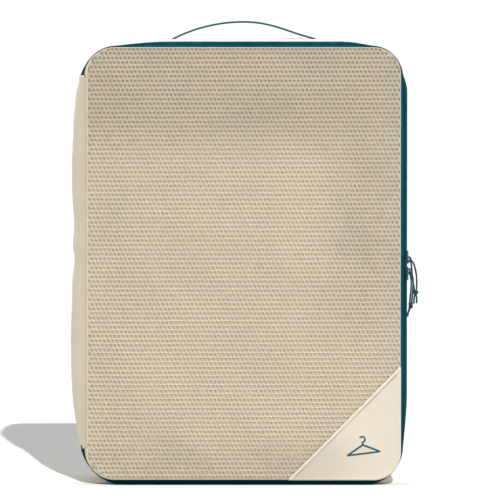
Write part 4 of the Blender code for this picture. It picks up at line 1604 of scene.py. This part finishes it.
def make_handle(thread):
    web = ribbed("handle_webbing", WEB_TEAL, rib=1.5, across=1.6, depth=0.00025, twill=False)
    half = HANDLE_SPAN / 2
    line = []
    for k in range(65):
        across = (half - 0.0005) * (2 * k / 64 - 1)
        droop = 0.0023 * math.sin(math.pi * (max(across, 0.0) / half) ** 2)
        line.append((PANEL_X + across, HANDLE_BASE + arch_height(across) - droop))
    dip = [(half + 0.0008, 0.4037), (half + 0.0017, 0.4030), (half + 0.0027, 0.4024)]
    left = [(PANEL_X - x, z) for x, z in reversed(dip)]
    path = np.array([*left, *line, *[(PANEL_X + x, z) for x, z in dip]])
    ahead = directions(path)
    up = np.stack([-ahead[:, 1], ahead[:, 0]], -1)
    run = run_along(path)
    across = [-1.0, -0.97, -0.85, -0.6, -0.3, 0.0, 0.3, 0.6, 0.85, 0.97, 1.0]
    outer = np.empty((len(path), len(across), 3))
    inner = np.empty_like(outer)
    flat = np.zeros_like(outer)
    for i, (x, z) in enumerate(path):
        for j, share in enumerate(across):
            rim = 0.35 if abs(share) == 1 else (0.85 if abs(share) > 0.9 else 1.0)
            thick = WEBBING / 2 * rim
            cup = 0.0003 * share**2
            y = share * HANDLE_WIDTH / 2
            outer[i, j] = (x + up[i, 0] * (thick - cup), y, z + up[i, 1] * (thick - cup))
            inner[i, j] = (x - up[i, 0] * (thick + cup), y, z - up[i, 1] * (thick + cup))
            flat[i, j] = (run[i], y, 0)
    strap = closed_sheet("handle_strap_web", outer, inner, flat, web)
    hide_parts("handle_strap", "handle_end_left", "handle_end_right")
    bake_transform(strap)
    # The strip's cream is much paler than the case cloth: a painted highlight for its brightly
    # lit top
    make_backing(woven("handle_base_weave_painted_highlight", (0.93, 0.89, 0.80), stain=0.03), thread)


BACKING_HALF = HANDLE_SPAN / 2 + 0.0035
GUSSET_TOP = PANEL_TOP + FULL_SWELL["top"]


def backing_point(x, y):
    """The strip under the handle: drawn up along its middle by the pull of the webbing."""
    off = (x - PANEL_X) / BACKING_HALF
    ends = smooth((1 - abs(off)) / 0.02)
    crown = 1 - min(abs(y) / 0.0130, 1.0) ** 8
    rise = 0.0004 + 0.0016 * crown + 0.0002 * soft(x * 60, y * 60, 0, 17)
    return (x, y, GUSSET_TOP + 0.0003 + rise * ends)


def make_backing(cloth, thread):
    half = BACKING_HALF
    xs = with_edges(even(PANEL_X - half, PANEL_X + half, 0.003), 0.0006)
    ys = with_edges(even(-0.013, 0.013, 0.0013), 0.0005)
    outer = np.array([[backing_point(x, y) for y in ys] for x in xs])
    inner = outer.copy()
    inner[:, :, 2] = GUSSET_TOP - 0.0004
    flat = outer.copy()
    flat[:, :, 2] = 0
    strip = closed_sheet("handle_backing_cloth", outer, inner, flat, cloth)
    place_piece(strip, "case", "case_cloth", "handle_backing")
    off_x, off_y = half - 0.0022, 0.0108
    signs = ((-1, -1), (1, -1), (1, 1), (-1, 1), (-1, -1))
    corners = [(PANEL_X + sign_x * off_x, sign_y * off_y) for sign_x, sign_y in signs]
    route = []
    for p, q in zip(corners, corners[1:], strict=False):
        route += [between(p, q, k / 10) for k in range(10)]
    place = (thread, "case", "case_cloth")
    line = sew("handle_stitches", backing_point, route, HANDLE_STITCH, *place)


# ---------------------------------------------------------------- all of it


def main():
    make_camera()
    make_pulls()
    make_stage()
    cloth = woven("case_weave", CREAM)
    patch_cloth = woven("patch_weave", PATCH_CREAM, pitch=0.5, depth=0.00008, stain=0.04)
    binding = ribbed("binding_weave", CREAM, rib=1.1, across=2.0, rough=0.8, twill=False)
    thread = woven("cream_thread", shade(CREAM, 1.06), pitch=0.25, depth=0.00005)
    make_flap()
    make_patch(patch_cloth)
    make_mark(moulded("patch_ink", TEAL, 0.5))
    make_zip()
    metal = moulded("slider_paint", METAL_TEAL, 0.32, 0.25)
    make_slider("upper", -1, metal)
    make_slider("lower", 1, metal)
    make_walls(cloth, binding, thread)
    # The hinge roll is the binding's cream darkened to 0.72: painted shade on the rolled edge
    make_hinge(woven("hinge_weave_painted_shade", shade(CREAM, 0.72)), thread)
    make_handle(thread)


main()
